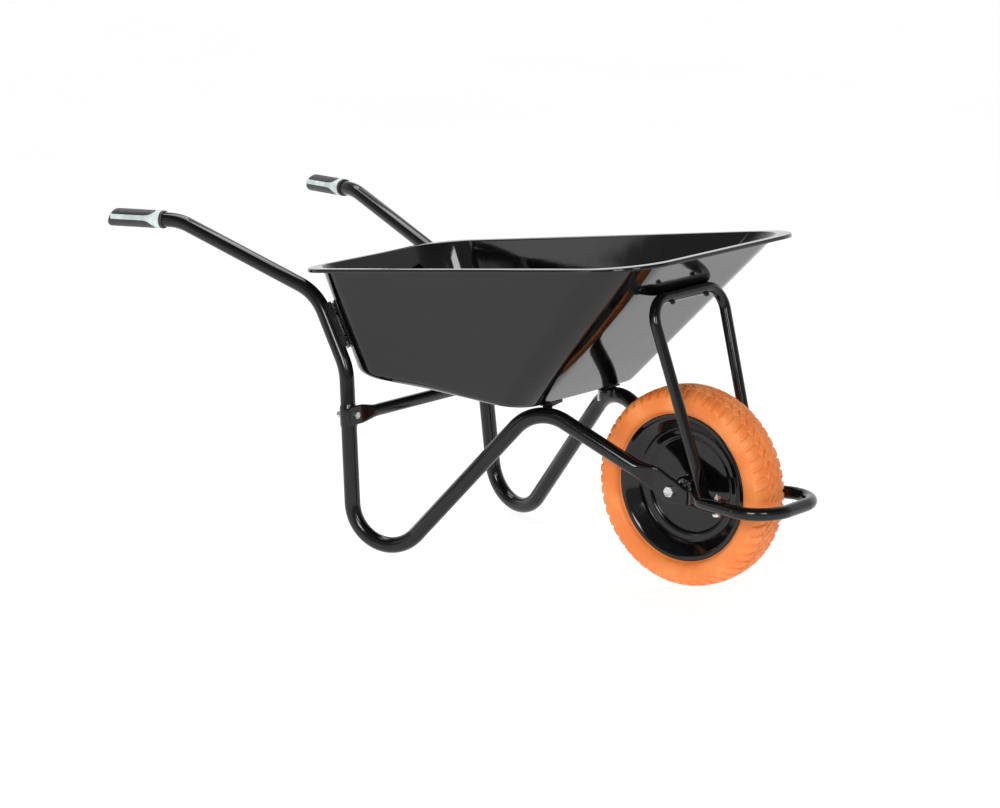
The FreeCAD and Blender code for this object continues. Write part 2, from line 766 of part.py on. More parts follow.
def leg_frame(side_name):
    side = SIDES[side_name]
    name = "leg_frame_" + side_name
    route = solid(name + "_route", leg_route(side))
    radius = size("leg_tube") / 2
    spigot = size("spigot_tube") / 2
    down = leg_direction(side)
    spigot_top = on_leg_line(side, mm("socket_top") - 2)
    spigot_length = (spigot_top - on_leg_line(side, mm("socket_bottom") - 3)).Length
    round_end = squash_start(side)
    fall = (round_end - corner("crest", side)).normalize()
    flat_end = place(-PLATE_BACK, side * mm("plate_out"), AXLE_Z + 17)
    across = Vector(0, 1, 0)
    half_flat = math.pi * mm("leg_tube") / 4 - 1
    flat_fall = Vector(0.9, 0, -0.43)
    squash = squashed_end(name + "_squash", [
        section(round_end, fall, across, mm("leg_tube") / 2, mm("leg_tube") / 2),
        section(flat_end, flat_fall, across, half_flat, mm("plate_thickness") / 2)])
    plate = flat_plate(name + "_plate", leg_plate_outline(), side * mm("plate_out"), mm("plate_thickness"))
    outside = fused(name + "_outside", [
        rod(name + "_bar", route, radius),
        cylinder(name + "_spigot", spigot, spigot_length, spigot_top, down), squash, plate])
    slot_place = Placement(place(12, side * mm("plate_out"), AXLE_Z - 45), Rotation())
    inside = fused(name + "_inside", [
        rod(name + "_bore", route, radius - size("tube_wall")),
        cylinder(name + "_spigot_bore", spigot - size("tube_wall"), spigot_length + 2,
                 spigot_top - down * 2, down),
        box(name + "_slot", 64, size("plate_slot"), 90, slot_place),
        hole(name + "_axle_hole", size("axle_diameter"), 30,
             place(0, side * mm("plate_out"), AXLE_Z), across),
        joint_hole(name + "_joint_hole", side)])
    return cut(name, outside, inside)


def nose_hoop():
    """Tube round the front of the wheel; its flat tongues sit inside the leg frames' ends."""
    name = "nose_hoop"
    high = mm("hoop_high")
    points = []
    for side in (-1, 1):
        start = place(mm("hoop_start"), side * mm("hoop_start_out"), high)
        turn = place(mm("hoop_front"), side * mm("hoop_corner_out"), high)
        points.append((start, turn))
    (start_right, turn_right), (start_left, turn_left) = points
    route = solid(name + "_route", rounded_route([start_right, turn_right, turn_left, start_left],
                                                 [mm("hoop_radius"), mm("hoop_radius")]))
    radius = size("hoop_tube") / 2
    outer = [rod(name + "_bar", route, radius)]
    inner = [rod(name + "_bore", route, radius - size("tube_wall"))]
    for side_name, side in SIDES.items():
        start = place(mm("hoop_start"), side * mm("hoop_start_out"), high)
        turn = place(mm("hoop_front"), side * mm("hoop_corner_out"), high)
        flat = place(40, side * mm("plate_out"), high + 3)
        heading = (turn - start).normalize()
        outer.append(squashed_end(name + "_squash_" + side_name, [
            section(start, heading, Vector(0, 1, 0), mm("hoop_tube") / 2, mm("hoop_tube") / 2),
            section(flat, Vector(1, 0, 0), Vector(0, 1, 0), 17, mm("tongue_thickness") / 2)]))
        outline = [(-13, AXLE_Z - 8), (-6, AXLE_Z - 20), (40, AXLE_Z - 21.5), (40, AXLE_Z + 5.5),
                   (30, AXLE_Z + 10), (-6, AXLE_Z + 12), (-13, AXLE_Z + 8)]
        outer.append(flat_plate(name + "_tongue_" + side_name, outline, side * mm("plate_out"),
                                mm("tongue_thickness")))
        inner.append(hole(name + "_axle_hole_" + side_name, size("axle_diameter"), 30,
                          place(0, side * mm("plate_out"), AXLE_Z), Vector(0, 1, 0)))
        inner.append(hole(name + "_stay_hole_" + side_name, size("stay_bolt"), 60,
                          place(mm("stay_bolt_ahead"), side * mm("stay_bolt_out"), high),
                          Vector(0, 0, 1)))
    return cut(name, fused(name + "_outside", outer), fused(name + "_inside", inner))


def stay_foot_top():
    return mm("hoop_high") + mm("hoop_tube") / 2


def wall_normal():
    """Outward direction of the tray's sloping front wall."""
    rise = mm("rim_high") - mm("floor_high") + 24
    run = mm("floor_front") + mm("rim_front") - mm("rim_flange")
    return Vector(rise, 0, -run).normalize()


def front_stay():
    """Inverted U: squashed feet on the hoop, and a top bar against the tray's front wall."""
    name = "front_stay"
    top = mm("stay_top_high")
    slope_top = {}
    legs = {}
    for side in (-1, 1):
        upper = place(-mm("stay_top_back"), side * mm("stay_top_out"), top)
        lower = place(mm("stay_foot_ahead"), side * mm("stay_foot_out"), stay_foot_top() + 2)
        share = (mm("stay_squash_high") - lower.z) / (upper.z - lower.z)
        slope_top[side] = lower + (upper - lower) * share
        legs[side] = (upper, lower)
    route = solid(name + "_route", rounded_route(
        [slope_top[-1], legs[-1][0], legs[1][0], slope_top[1]], [mm("stay_radius"), mm("stay_radius")]))
    radius = size("stay_tube") / 2
    thickness = mm("flat_thickness")
    half_flat = math.pi * mm("stay_tube") / 4 - 1
    outer = [rod(name + "_bar", route, radius)]
    inner = [rod(name + "_bore", route, radius - size("tube_wall"))]
    across = Vector(1, 0, 0)
    for side_name, side in SIDES.items():
        upper, lower = legs[side]
        heading = (lower - upper).normalize()
        outer.append(squashed_end(name + "_squash_" + side_name, [
            section(slope_top[side], heading, across, mm("stay_tube") / 2, mm("stay_tube") / 2),
            section(lower + Vector(0, 0, 1), heading, across, half_flat, thickness / 2)]))
        outer.append(cylinder(name + "_heel_" + side_name, thickness * 0.6, 2 * half_flat,
                              lower + Vector(0, -half_flat, 0), Vector(0, 1, 0)))
        foot_place = Placement(Vector(lower.x + 23, lower.y, stay_foot_top()), Rotation())
        outer.append(box(name + "_foot_" + side_name, 46, 2 * half_flat, thickness, foot_place))
        inner.append(hole(name + "_foot_hole_" + side_name, size("stay_bolt"), 30,
                          place(mm("stay_bolt_ahead"), side * mm("stay_bolt_out"), stay_foot_top()),
                          Vector(0, 0, 1)))
        inner.append(hole(name + "_top_hole_" + side_name, size("tray_bolt"), 40,
                          place(-mm("stay_top_back"), side * mm("stay_top_bolt_out"), top),
                          wall_normal()))
    return cut(name, fused(name + "_outside", outer), fused(name + "_inside", inner))


def brace_middle():
    """Middle of the brace, whose flattened ends lie against the front of the sockets."""
    joint = joint_bolt_point(1)
    front = joint + joint_axis() * (mm("socket_tube") / 2 + mm("flat_thickness") / 2)
    return Vector(front.x, 0, front.z)


def cross_brace():
    name = "cross_brace"
    middle = brace_middle()
    thin = joint_axis()
    half_flat = math.pi * mm("brace_tube") / 4 - 0.5
    joint_out = abs(joint_bolt_point(1).y)
    flat_out = joint_out - 12
    round_out = joint_out - 62
    radius = size("brace_tube") / 2
    route = solid(name + "_route", Part.Wire([Part.LineSegment(
        middle - Vector(0, round_out, 0), middle + Vector(0, round_out, 0)).toShape()]))
    outer = [rod(name + "_bar", route, radius)]
    inner = [rod(name + "_bore", route, radius - size("tube_wall"))]
    for side_name, side in SIDES.items():
        heading = Vector(0, side, 0)
        outer.append(squashed_end(name + "_squash_" + side_name, [
            section(middle + heading * round_out, heading, thin, mm("brace_tube") / 2,
                    mm("brace_tube") / 2),
            section(middle + heading * flat_out, heading, thin, half_flat, mm("flat_thickness") / 2)]))
        ear_face = Placement(middle + heading * (flat_out + 13) - thin * (mm("flat_thickness") / 2),
                             Rotation(Vector(0, 1, 0), thin.cross(Vector(0, 1, 0)), thin, "ZXY"))
        outer.append(box(name + "_ear_" + side_name, 28, 2 * half_flat, size("flat_thickness"),
                         ear_face))
        inner.append(joint_hole(name + "_hole_" + side_name, side))
    return cut(name, fused(name + "_outside", outer), fused(name + "_inside", inner))


# ---------------------------------------------------------------- tray

def rim_offset():
    return Placement(Vector(AXLE_X, 0, mm("rim_high")), Rotation(Vector(0, 1, 0), -mm("rim_tilt")))


def floor_offset(lift):
    """Plane of the floor, raised by the lift."""
    return Placement(Vector(AXLE_X, 0, mm("floor_high") + lift),
                     Rotation(Vector(0, 1, 0), mm("floor_tilt")))


def tie_offset(sketch, high):
    """Keep the height of the sketch's plane tied to the spreadsheet."""
    sketch.setExpression("AttachmentOffset.Base.x", size("axle_ahead").text)
    sketch.setExpression("AttachmentOffset.Base.z", high.text)


def draw_rim(sketch, inset):
    """Outer edge of the flange, moved inward by the inset."""
    inset = as_size(inset)
    draw_pan_outline(sketch, inset - size("rim_back"), size("rim_front") - inset,
                     size("rim_rear_half") - inset, size("rim_front_half") - inset,
                     size("rim_rear_corner") - inset, size("rim_front_corner") - inset)


def draw_opening(sketch, inset):
    """Where the walls meet the flange, moved inward by the inset; its corners are fuller."""
    inset = as_size(inset)
    flange = size("rim_flange") + inset
    draw_pan_outline(sketch, flange - size("rim_back"), size("rim_front") - flange,
                     size("rim_rear_half") - flange, size("rim_front_half") - flange,
                     size("opening_rear_corner") - inset, size("opening_front_corner") - inset)


def pan_block(name, lift, inset):
    """Filled block between the floor outline and the rim opening, with its bottom edges rounded.

    The outside of the pan has no lift and no inset; the inside has the sheet's thickness of both."""
    body = document.addObject("PartDesign::Body", name)
    bottom = new_sketch(body, name + "_floor", "XY_Plane", floor_offset(float(lift)))
    tie_offset(bottom, size("floor_high") + lift)
    draw_pan_outline(bottom, inset * 0.6 - size("floor_back"), -size("floor_front") - inset * 0.4,
                     size("floor_rear_half") - inset * 0.8, size("floor_front_half") - inset * 0.8,
                     size("floor_rear_corner") - inset * 0.8, size("floor_front_corner") - inset * 0.8)
    opening = new_sketch(body, name + "_opening", "XY_Plane", rim_offset())
    tie_offset(opening, size("rim_high"))
    draw_opening(opening, inset)
    loft = body.newObject("PartDesign::AdditiveLoft", name + "_walls")
    loft.Profile = bottom
    loft.Sections = [opening]
    loft.Ruled = True
    document.recompute()
    bottom_edges = []
    for number, edge in enumerate(loft.Shape.Edges, start=1):
        if edge.BoundBox.ZMax < mm("floor_high") + 40:
            bottom_edges.append("Edge%d" % number)
    rounding = body.newObject("PartDesign::Fillet", name + "_rounding")
    rounding.Base = (loft, bottom_edges)
    bind(rounding, Radius=size("floor_rounding") - inset)
    document.recompute()
    healed = rounding.Shape.copy()
    healed.fix(0.001, 0.001, 0.01)
    return solid(name + "_healed", healed)


def ring_pad(body, name, draw_inner, inset, depth):
    """A ring that hangs down from the rim's top plane, between the rim edge and the inner outline."""
    sketch = new_sketch(body, name + "_outline", "XY_Plane", rim_offset())
    tie_offset(sketch, size("rim_high"))
    draw_rim(sketch, 0)
    draw_inner(sketch, inset)
    pad = body.newObject("PartDesign::Pad", name)
    pad.Profile = sketch
    bind(pad, Length=depth)
    pad.Reversed = True


def tray_pan(block):
    """Pressed pan with a flat flange round its rim and a lip turned down from the flange."""
    inside = pan_block("tray_inside", size("sheet"), size("sheet"))
    walls = cut("tray_walls", block, inside)
    rim = document.addObject("PartDesign::Body", "tray_rim")
    ring_pad(rim, "flange", draw_opening, size("sheet"), size("sheet"))
    ring_pad(rim, "lip", draw_rim, size("sheet"), size("rim_lip"))
    return fused("tray_pan", [walls, rim])


# ---------------------------------------------------------------- brackets and their bolts

def channel_frame(side):
    """Middle of the rear bracket on the tube's centre line, with X along the tube and Z to the tray."""
    upper = corner("shoulder", side)
    lower = corner("knee", side)
    along = (lower - upper).normalize()
    middle = upper + (lower - upper) * CHANNEL_SHARE
    toward = Vector(0.655, -0.755 * side, 0)
    toward = (toward - along * toward.dot(along)).normalize()
    return Placement(middle, Rotation(along, toward.cross(along), toward, "XYZ"))


CHANNEL_SHARE = 0.46     # how far down the tube's sloping run the bracket's middle is
CHANNEL_BOLTS = (-28.0, 28.0)
CHANNEL_FOOT = 2.6       # thickness of the flange on the tube
CHANNEL_HOLLOW = 5.6     # room between the two flanges, for the nuts
CHANNEL_NUT = 3.0        # height of its low nuts


def channel_bolt(side, along, block):
    """Where a rear bracket bolt meets the outside of the tray, and its direction into the tray."""
    frame = channel_frame(side)
    skin = line_hit(block, frame.multVec(Vector(along, 0, 0)), frame.Rotation.multVec(Vector(0, 0, 1)))
    return skin, -outward(block, skin)


def line_hit(block, point, direction):
    """First point where a line from the point enters the block."""
    line = Part.LineSegment(point, point + direction * 200).toShape()
    inside = line.common(block.Shape)
    return min((vertex.Point for vertex in inside.Vertexes), key=lambda spot: (spot - point).Length)


def outward(block, point):
    """Outward direction of the block's surface at a point on it."""
    spot = Part.Vertex(point)
    face = min(block.Shape.Faces, key=lambda each: each.distToShape(spot)[0])
    across, along = face.Surface.parameter(point)
    normal = face.normalAt(across, along)
    inside = block.Shape.isInside(point + normal * 0.5, 0.001, False)
    return -normal if inside else normal


def rear_tray_bracket(side_name, block, tube):
    """Channel with one flange on the tube and one on the tray, open towards the middle."""
    side = SIDES[side_name]
    name = "rear_tray_bracket_" + side_name
    frame = channel_frame(side)
    whole = box(name + "_block", size("channel_length"), size("channel_width"), 34, frame)
    open_side = frame.multiply(Placement(
        Vector(0, side * mm("flat_thickness"), mm("handle_tube") / 2 + CHANNEL_FOOT), Rotation()))
    recess = box(name + "_recess", size("channel_length") + 2, size("channel_width"), CHANNEL_HOLLOW,
                 open_side)
    bolts = []
    for along in CHANNEL_BOLTS:
        skin, inward = channel_bolt(side, along, block)
        bolts.append(hole("%s_hole_%d" % (name, along), size("tray_bolt"), 16, skin, inward))
    return carved(name, whole, [recess, block, tube] + bolts)


def floor_height(ahead):
    """Underside of the tray floor at a distance ahead of the axle."""
    return mm("floor_high") - ahead * math.tan(math.radians(mm("floor_tilt")))


def saddle_bolt_place(side):
    back = mm("saddle_bolt_back")
    return place(-back, side * mm("saddle_bolt_out"), floor_height(-back))


def floor_normal():
    return Vector(math.tan(math.radians(mm("floor_tilt"))), 0, 1).normalize()


WEB_FOOT = 312.0         # height of the saddle web's lower edge
WEB_OUT = 104.0
WEB_REAR, WEB_FRONT = -277.0, -258.0


def saddle_bracket(side_name, block, tube):
    """Plate under the tray's front edge, with a web that stands on the leg frame's crest."""
    side = SIDES[side_name]
    name = "saddle_bracket_" + side_name
    thickness = mm("flat_thickness")
    front = -mm("floor_front") - 1
    rear = front - mm("saddle_length")
    inner, outer = mm("saddle_inner_out"), mm("saddle_outer_out")
    top = [(rear, floor_height(rear)), (rear, floor_height(rear) - thickness),
           (front, floor_height(front) - thickness), (front, floor_height(front))]
    pieces = [flat_plate(name + "_plate", top, side * (inner + outer) / 2, outer - inner)]
    under = [(WEB_REAR, floor_height(WEB_REAR) - 1), (WEB_REAR, WEB_FOOT), (WEB_FRONT, WEB_FOOT),
             (WEB_FRONT, floor_height(front) - thickness), (front, floor_height(front) - 1)]
    pieces.append(flat_plate(name + "_web", under, side * WEB_OUT, 2 * thickness))
    # the plate's front edge is folded down, deepest at the web
    level = floor_height(front)
    fold = [Vector(AXLE_X + front, side * out, level - drop)
            for out, drop in ((inner, 1), (inner, 4.5), (WEB_OUT, 10), (WEB_OUT, 1))]
    fold_face = Part.Face(Part.makePolygon(fold + fold[:1]))
    pieces.append(solid(name + "_fold", fold_face.extrude(Vector(-thickness, 0, 0))))
    bolt = hole(name + "_hole", size("tray_bolt"), 30, saddle_bolt_place(side), floor_normal())
    return carved(name, fused(name + "_whole", pieces), [block, tube, bolt])


# ---------------------------------------------------------------- put together

def build():
    parts = []
    block = pan_block("tray_block", as_size(0), as_size(0))
    pan = tray_pan(block)
    document.recompute()
    tray_holes = []
    rear_bolts, rear_nuts, saddle_bolts, saddle_nuts, top_bolts, top_nuts = [], [], [], [], [], []
    foot_bolts, foot_nuts, joint_bolts, joint_nuts = [], [], [], []
    wall = wall_normal()
    sheet_gap = mm("sheet")
    for side_name, side in SIDES.items():
        tube = handle_tube(side_name)
        grip, inlay = grips(side_name)
        leg = leg_frame(side_name)
        route = document.getObject("handle_tube_%s_route" % side_name)
        filled_tube = rod("handle_tube_%s_filled" % side_name, route, size("handle_tube") / 2)
        leg_line = document.getObject("leg_frame_%s_route" % side_name)
        filled_leg = rod("leg_frame_%s_filled" % side_name, leg_line, size("leg_tube") / 2)
        parts += [tube, grip, inlay, leg, rear_tray_bracket(side_name, block, filled_tube),
                  saddle_bracket(side_name, block, filled_leg)]
        document.recompute()
        # joint bolt: head in front of the brace, nut behind the socket
        axis = joint_axis()
        front = joint_bolt_point(side) + axis * (mm("socket_tube") / 2 + mm("flat_thickness"))
        behind = joint_bolt_point(side) - axis * (mm("socket_tube") / 2)
        joint_bolts.append(hex_bolt("joint_bolt_" + side_name, size("joint_bolt"),
                                    (front - behind).Length + 12, 5.3, front, -axis))
        joint_nuts.append(nut("joint_nut_" + side_name, size("joint_bolt"), 8.5, behind, -axis))
        # stay foot bolt: head under the hoop, nut on the foot
        under = place(mm("stay_bolt_ahead"), side * mm("stay_bolt_out"), mm("hoop_high")
                      - mm("hoop_tube") / 2)
        on_top = Vector(under.x, under.y, stay_foot_top() + mm("flat_thickness"))
        foot_bolts.append(hex_bolt("stay_foot_bolt_" + side_name, size("stay_bolt"),
                                   (on_top - under).Length + 10, 5.3, under, Vector(0, 0, 1)))
        foot_nuts.append(nut("stay_foot_nut_" + side_name, size("stay_bolt"), 6.5, on_top,
                             Vector(0, 0, 1)))
        # rear tray bolts: cup heads inside the tray, nuts inside the channel
        for along in CHANNEL_BOLTS:
            label = "%s_%s" % (side_name, "upper" if along < 0 else "lower")
            skin, inward = channel_bolt(side, along, block)
            inner = skin + inward * (sheet_gap + 0.4)
            seat = channel_frame(side).inverse().multVec(skin).z - mm("handle_tube") / 2 - 7.1
            rear_bolts.append(cup_bolt("rear_tray_bolt_" + label, size("tray_bolt"), 9.2, inner, -inward))
            tray_holes.append(hole("tray_hole_" + label, size("tray_bolt"), 12, skin, inward))
            rear_nuts.append(nut("rear_tray_nut_" + label, size("tray_bolt"), CHANNEL_NUT,
                                 skin - inward * seat, -inward))
        # saddle bolt: cup head on the tray floor, nut under the saddle
        low = saddle_bolt_place(side)
        up = floor_normal()
        saddle_bolts.append(cup_bolt("saddle_bolt_" + side_name, size("tray_bolt"), 31,
                                     low + up * (sheet_gap + 0.1), -up))
        saddle_nuts.append(nut("saddle_nut_" + side_name, size("tray_bolt"), 5,
                               low - up * (mm("flat_thickness") + 0.1), -up))
        tray_holes.append(hole("tray_floor_hole_" + side_name, size("tray_bolt"), 20, low, up))
        # stay top bolt: cup head inside the tray, nut in front of the bar
        bar = place(-mm("stay_top_back"), side * mm("stay_top_bolt_out"), mm("stay_top_high"))
        skin = line_hit(block, bar, -wall)
        inner = skin - wall * sheet_gap
        front = bar + wall * (mm("stay_tube") / 2)
        top_bolts.append(cup_bolt("stay_top_bolt_" + side_name, size("tray_bolt"),
                                  (front - inner).Length + 7, inner, wall))
        top_nuts.append(nut("stay_top_nut_" + side_name, size("tray_bolt"), 5, front, wall))
        tray_holes.append(hole("tray_wall_hole_" + side_name, size("tray_bolt"), 20, skin, wall))
    parts.append(carved("tray", pan, tray_holes))
    parts += [nose_hoop(), front_stay(), cross_brace()]
    parts += [group("joint_bolts", joint_bolts), group("joint_nuts", joint_nuts),
              group("stay_foot_bolts", foot_bolts), group("stay_foot_nuts", foot_nuts),
              group("stay_top_bolts", top_bolts), group("stay_top_nuts", top_nuts),
              group("rear_tray_bolts", rear_bolts), group("rear_tray_nuts", rear_nuts),
              group("saddle_bolts", saddle_bolts), group("saddle_nuts", saddle_nuts)]
    parts += axle_parts()
    parts += [tyre(), rim_half("rim_half_right", -1), rim_half("rim_half_left", 1), hub_tube()]
    return parts


def axle_parts():
    outer_face = mm("plate_out") + mm("plate_thickness") / 2
    inner_face = size("plate_out") - size("plate_thickness") / 2
    across = Vector(0, 1, 0)
    diameter = size("axle_diameter")
    bolt = hex_bolt("axle_bolt", diameter, 2 * outer_face + 15, 8, place(0, -outer_face, AXLE_Z), across)
    axle_nut = nut("axle_nut", diameter, 10, place(0, outer_face, AXLE_Z), across)
    race_face = size("hub_length") / 2 - 1
    bore = diameter / 2 + 0.1
    spacers = []
    for side_name, side in SIDES.items():
        outline = [(race_face * side, bore), (inner_face * side, bore), (inner_face * side, bore + 2.5),
                   (race_face * side, bore + 2.5)]
        spacers.append(revolved("axle_spacer_" + side_name, outline, WHEEL_PLACE))
    middle = race_face - size("bearing_width")
    between = revolved("bearing_spacer", [(-middle, bore), (middle, bore), (middle, bore + 2),
                                          (-middle, bore + 2)], WHEEL_PLACE)
    inner_races, outer_races, balls = bearings()
    return [bolt, axle_nut, group("axle_spacers", spacers), between, inner_races, outer_races, balls]


def check_and_write(parts):
    document.recompute()
    troubles = [thing.Name for thing in document.Objects
                if "Invalid" in thing.State or "Error" in thing.State]
    for part in parts:
        if part.Shape.isNull() or not part.Shape.isValid() or not part.Shape.Solids:
            troubles.append(part.Label)
    if troubles:
        raise RuntimeError("not built: " + ", ".join(troubles))
    os.makedirs("parts", exist_ok=True)
    whole = FreeCAD.BoundBox()
    for part in parts:
        part.Shape.exportStep(os.path.join("parts", part.Label + ".step"))
        whole.add(part.Shape.BoundBox)
    print("%d sub-parts, x %.1f to %.1f, y %.1f to %.1f, z %.1f to %.1f" % (
        len(parts), whole.XMin, whole.XMax, whole.YMin, whole.YMax, whole.ZMin, whole.ZMax))


check_and_write(build())
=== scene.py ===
import json
import math

import bpy
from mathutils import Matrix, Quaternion, Vector


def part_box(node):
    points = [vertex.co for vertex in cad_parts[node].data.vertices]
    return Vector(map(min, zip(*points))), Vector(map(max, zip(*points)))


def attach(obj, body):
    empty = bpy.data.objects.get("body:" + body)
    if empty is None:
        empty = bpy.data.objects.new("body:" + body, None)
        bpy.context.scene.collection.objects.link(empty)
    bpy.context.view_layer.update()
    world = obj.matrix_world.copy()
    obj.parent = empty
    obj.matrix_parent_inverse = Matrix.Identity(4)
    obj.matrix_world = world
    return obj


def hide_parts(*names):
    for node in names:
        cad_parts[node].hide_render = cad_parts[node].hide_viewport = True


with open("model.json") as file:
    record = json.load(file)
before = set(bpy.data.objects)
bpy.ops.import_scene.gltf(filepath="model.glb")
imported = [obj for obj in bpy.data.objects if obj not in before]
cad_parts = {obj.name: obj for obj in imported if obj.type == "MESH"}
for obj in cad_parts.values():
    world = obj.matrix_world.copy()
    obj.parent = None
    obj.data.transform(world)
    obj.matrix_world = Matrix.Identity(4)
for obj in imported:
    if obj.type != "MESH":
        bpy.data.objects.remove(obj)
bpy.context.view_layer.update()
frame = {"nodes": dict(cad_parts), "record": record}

# Sizes are in millimetres in the comments and names below, and turned to metres by MM.
# "ahead" is measured forward from the axle, "left" from the middle plane, "high" from the ground.
MM = 0.001
AXLE_HIGH = 195.0
AXLE_X = (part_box("tyre")[0].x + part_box("tyre")[1].x) / 2 / MM
SIDES = {"right": -1, "left": 1}
UP = Vector((0, 0, 1))
LEFT = Vector((0, 1, 0))
FORWARD = Vector((1, 0, 0))
SMOOTH_ANGLE = math.radians(40)


def at(ahead, left, high):
    """A point of the row frame, in millimetres."""
    return Vector((AXLE_X + ahead, left, high))


def mix(a, b, share):
    return a + (b - a) * share


def ease(share):
    """Smooth step from 0 to 1."""
    share = min(1.0, max(0.0, share))
    return share * share * (3 - 2 * share)


# ------------------------------------------------------------------ meshes

def make_mesh(name, points, faces, body, node, material, smooth=SMOOTH_ANGLE):
    """A mesh in millimetres that stands for a CAD node and rides on its body."""
    mesh = bpy.data.meshes.new(name)
    mesh.from_pydata([tuple(point * MM) for point in points], [], faces)
    mesh.validate()
    thing = bpy.data.objects.new(name, mesh)
    bpy.context.scene.collection.objects.link(thing)
    mesh.shade_smooth()
    mesh.set_sharp_from_angle(angle=smooth)
    mesh.materials.append(material)
    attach(thing, body)
    if node:
        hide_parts(*([node] if isinstance(node, str) else node))
    return thing


class Parts:
    """Collects the points and faces of one piece."""

    def __init__(self):
        self.points = []
        self.faces = []

    def rings(self, rings, closed=False, caps=True):
        """Quads between neighbouring rings, which all have the same number of points."""
        start = len(self.points)
        size = len(rings[0])
        for ring in rings:
            self.points.extend(ring)
        count = len(rings)
        for row in range(count if closed else count - 1):
            low = start + row * size
            high = start + (row + 1) % count * size
            for n in range(size):
                following = (n + 1) % size
                self.faces.append((low + n, low + following, high + following, high + n))
        if caps and not closed:
            self.faces.append(tuple(start + n for n in reversed(range(size))))
            last = start + (count - 1) * size
            self.faces.append(tuple(last + n for n in range(size)))

    def make(self, name, body, node, slot, material, smooth=SMOOTH_ANGLE):
        return make_mesh(name, self.points, self.faces, body, node, material, smooth)


def spine(points, radii, turn_step=math.radians(3)):
    """Places and directions along a route whose inner corners are rounded."""
    stations = []
    start = points[0]
    for index in range(1, len(points) - 1):
        before = (points[index - 1] - points[index]).normalized()
        after = (points[index + 1] - points[index]).normalized()
        half = before.angle(after) / 2
        radius = radii[index - 1]
        reach = radius / math.tan(half)
        first = points[index] + before * reach
        centre = points[index] + (before + after).normalized() * (radius / math.sin(half))
        stations.append((start, -before))
        arm = first - centre
        axis = arm.cross(-before).normalized()
        turn = math.pi - 2 * half
        steps = max(2, math.ceil(turn / turn_step))
        for step in range(steps + 1):
            swing = Quaternion(axis, turn * step / steps)
            stations.append((centre + swing @ arm, swing @ -before))
        start = points[index] + after * reach
    stations.append((points[-1], (points[-1] - points[-2]).normalized()))
    return stations


def hermite(first, first_slope, last, last_slope, share):
    """Point and direction on a smooth curve between two places."""
    square, cube = share * share, share ** 3
    place = (first * (2 * cube - 3 * square + 1) + first_slope * (cube - 2 * square + share)
             + last * (3 * square - 2 * cube) + last_slope * (cube - square))
    slope = (first * (6 * square - 6 * share) + first_slope * (3 * square - 4 * share + 1)
             + last * (6 * share - 6 * square) + last_slope * (3 * square - 2 * share))
    return place, slope.normalized()


RING = 56


def oval(centre, direction, wide_hint, half_wide, half_thin, count=RING):
    """A ring round a tube: a circle, or two half circles joined by flats where it is squashed."""
    wide = (wide_hint - direction * wide_hint.dot(direction)).normalized()
    thin = direction.cross(wide)
    straight = max(0.0, half_wide - half_thin)
    length = 4 * straight + 2 * math.pi * half_thin
    ring = []
    for n in range(count):
        run = length * n / count
        quarter = math.pi * half_thin / 2
        if run < quarter:
            angle = run / half_thin
            spot = (straight + half_thin * math.cos(angle), half_thin * math.sin(angle))
        elif run < quarter + 2 * straight:
            spot = (straight - (run - quarter), half_thin)
        elif run < 3 * quarter + 2 * straight:
            angle = math.pi / 2 + (run - quarter - 2 * straight) / half_thin
            spot = (-straight + half_thin * math.cos(angle), half_thin * math.sin(angle))
        elif run < 3 * quarter + 4 * straight:
            spot = (-straight + (run - 3 * quarter - 2 * straight), -half_thin)
        else:
            angle = 3 * math.pi / 2 + (run - 3 * quarter - 4 * straight) / half_thin
            spot = (straight + half_thin * math.cos(angle), half_thin * math.sin(angle))
        ring.append(centre + wide * spot[0] + thin * spot[1])
    return ring


def turned(profile, centre, axis, count, start=None):
    """Rings of a turned shape; the profile holds (along the axis, radius) pairs."""
    axis = axis.normalized()
    out = (start or (UP if abs(axis.z) < 0.9 else FORWARD))
    out = (out - axis * out.dot(axis)).normalized()
    side = axis.cross(out)
    rings = []
    for along, radius in profile:
        rings.append([centre + axis * along + (out * math.cos(turn) + side * math.sin(turn)) * radius
                      for turn in (2 * math.pi * n / count for n in range(count))])
    return rings


def rounded(corners, radius, steps=4):
    """The open profile with each inner corner rounded by up to the radius."""
    result = [corners[0]]
    for before, corner, after in zip(corners, corners[1:], corners[2:]):
        here, back, ahead = Vector(corner), Vector(before), Vector(after)
        reach = min(radius, (back - here).length * 0.45, (ahead - here).length * 0.45)
        first = here + (back - here).normalized() * reach
        last = here + (ahead - here).normalized() * reach
        for step in range(steps + 1):
            share = step / steps
            result.append(tuple(mix(mix(first, here, share), mix(here, last, share), share)))
    result.append(corners[-1])
    return result


# ------------------------------------------------------------------ routes shared by several pieces

LEG_RADIUS = 15.9
HANDLE_RADIUS = 15.0
SOCKET_RADIUS = 17.3
HOOP_RADIUS = 12.5
STAY_RADIUS = 11.0
BRACE_RADIUS = 12.5
GRIP_RADIUS = 18.4
GRIP_SLANT = 15.0        # how far the grip's rear end lies ahead at its top
JOINT_HIGH = 274.5
SOCKET_TOP, SOCKET_BOTTOM = 289.0, 252.0
PLATE_OUT = 65.0         # middle of the leg frame's squashed end, from the middle plane
HOOP_HIGH = 186.0
STAY_TOP, STAY_FOOT = 566.0, 200.1
TONGUE_HALF = 16.3       # half the width of the stay's squashed feet
GRIP_LENGTH = 134.0
RING_BACK, RING_FRONT = 115.5, 129.0     # the pale ring's place along the grip


def grip_frame(side):
    """Rear end of the grip, and the direction forward along it."""
    end = at(-1248.0, side * 308.0, 628.0)
    return end, (bend(side) - end).normalized()


def bend(side):
    return at(-1083.8, side * 268.4, 631.0)


def knee(side):
    return at(-689.4, side * 211.1, 366.0)


def foot(side):
    return at(-650.0, side * 231.8, -94.5)


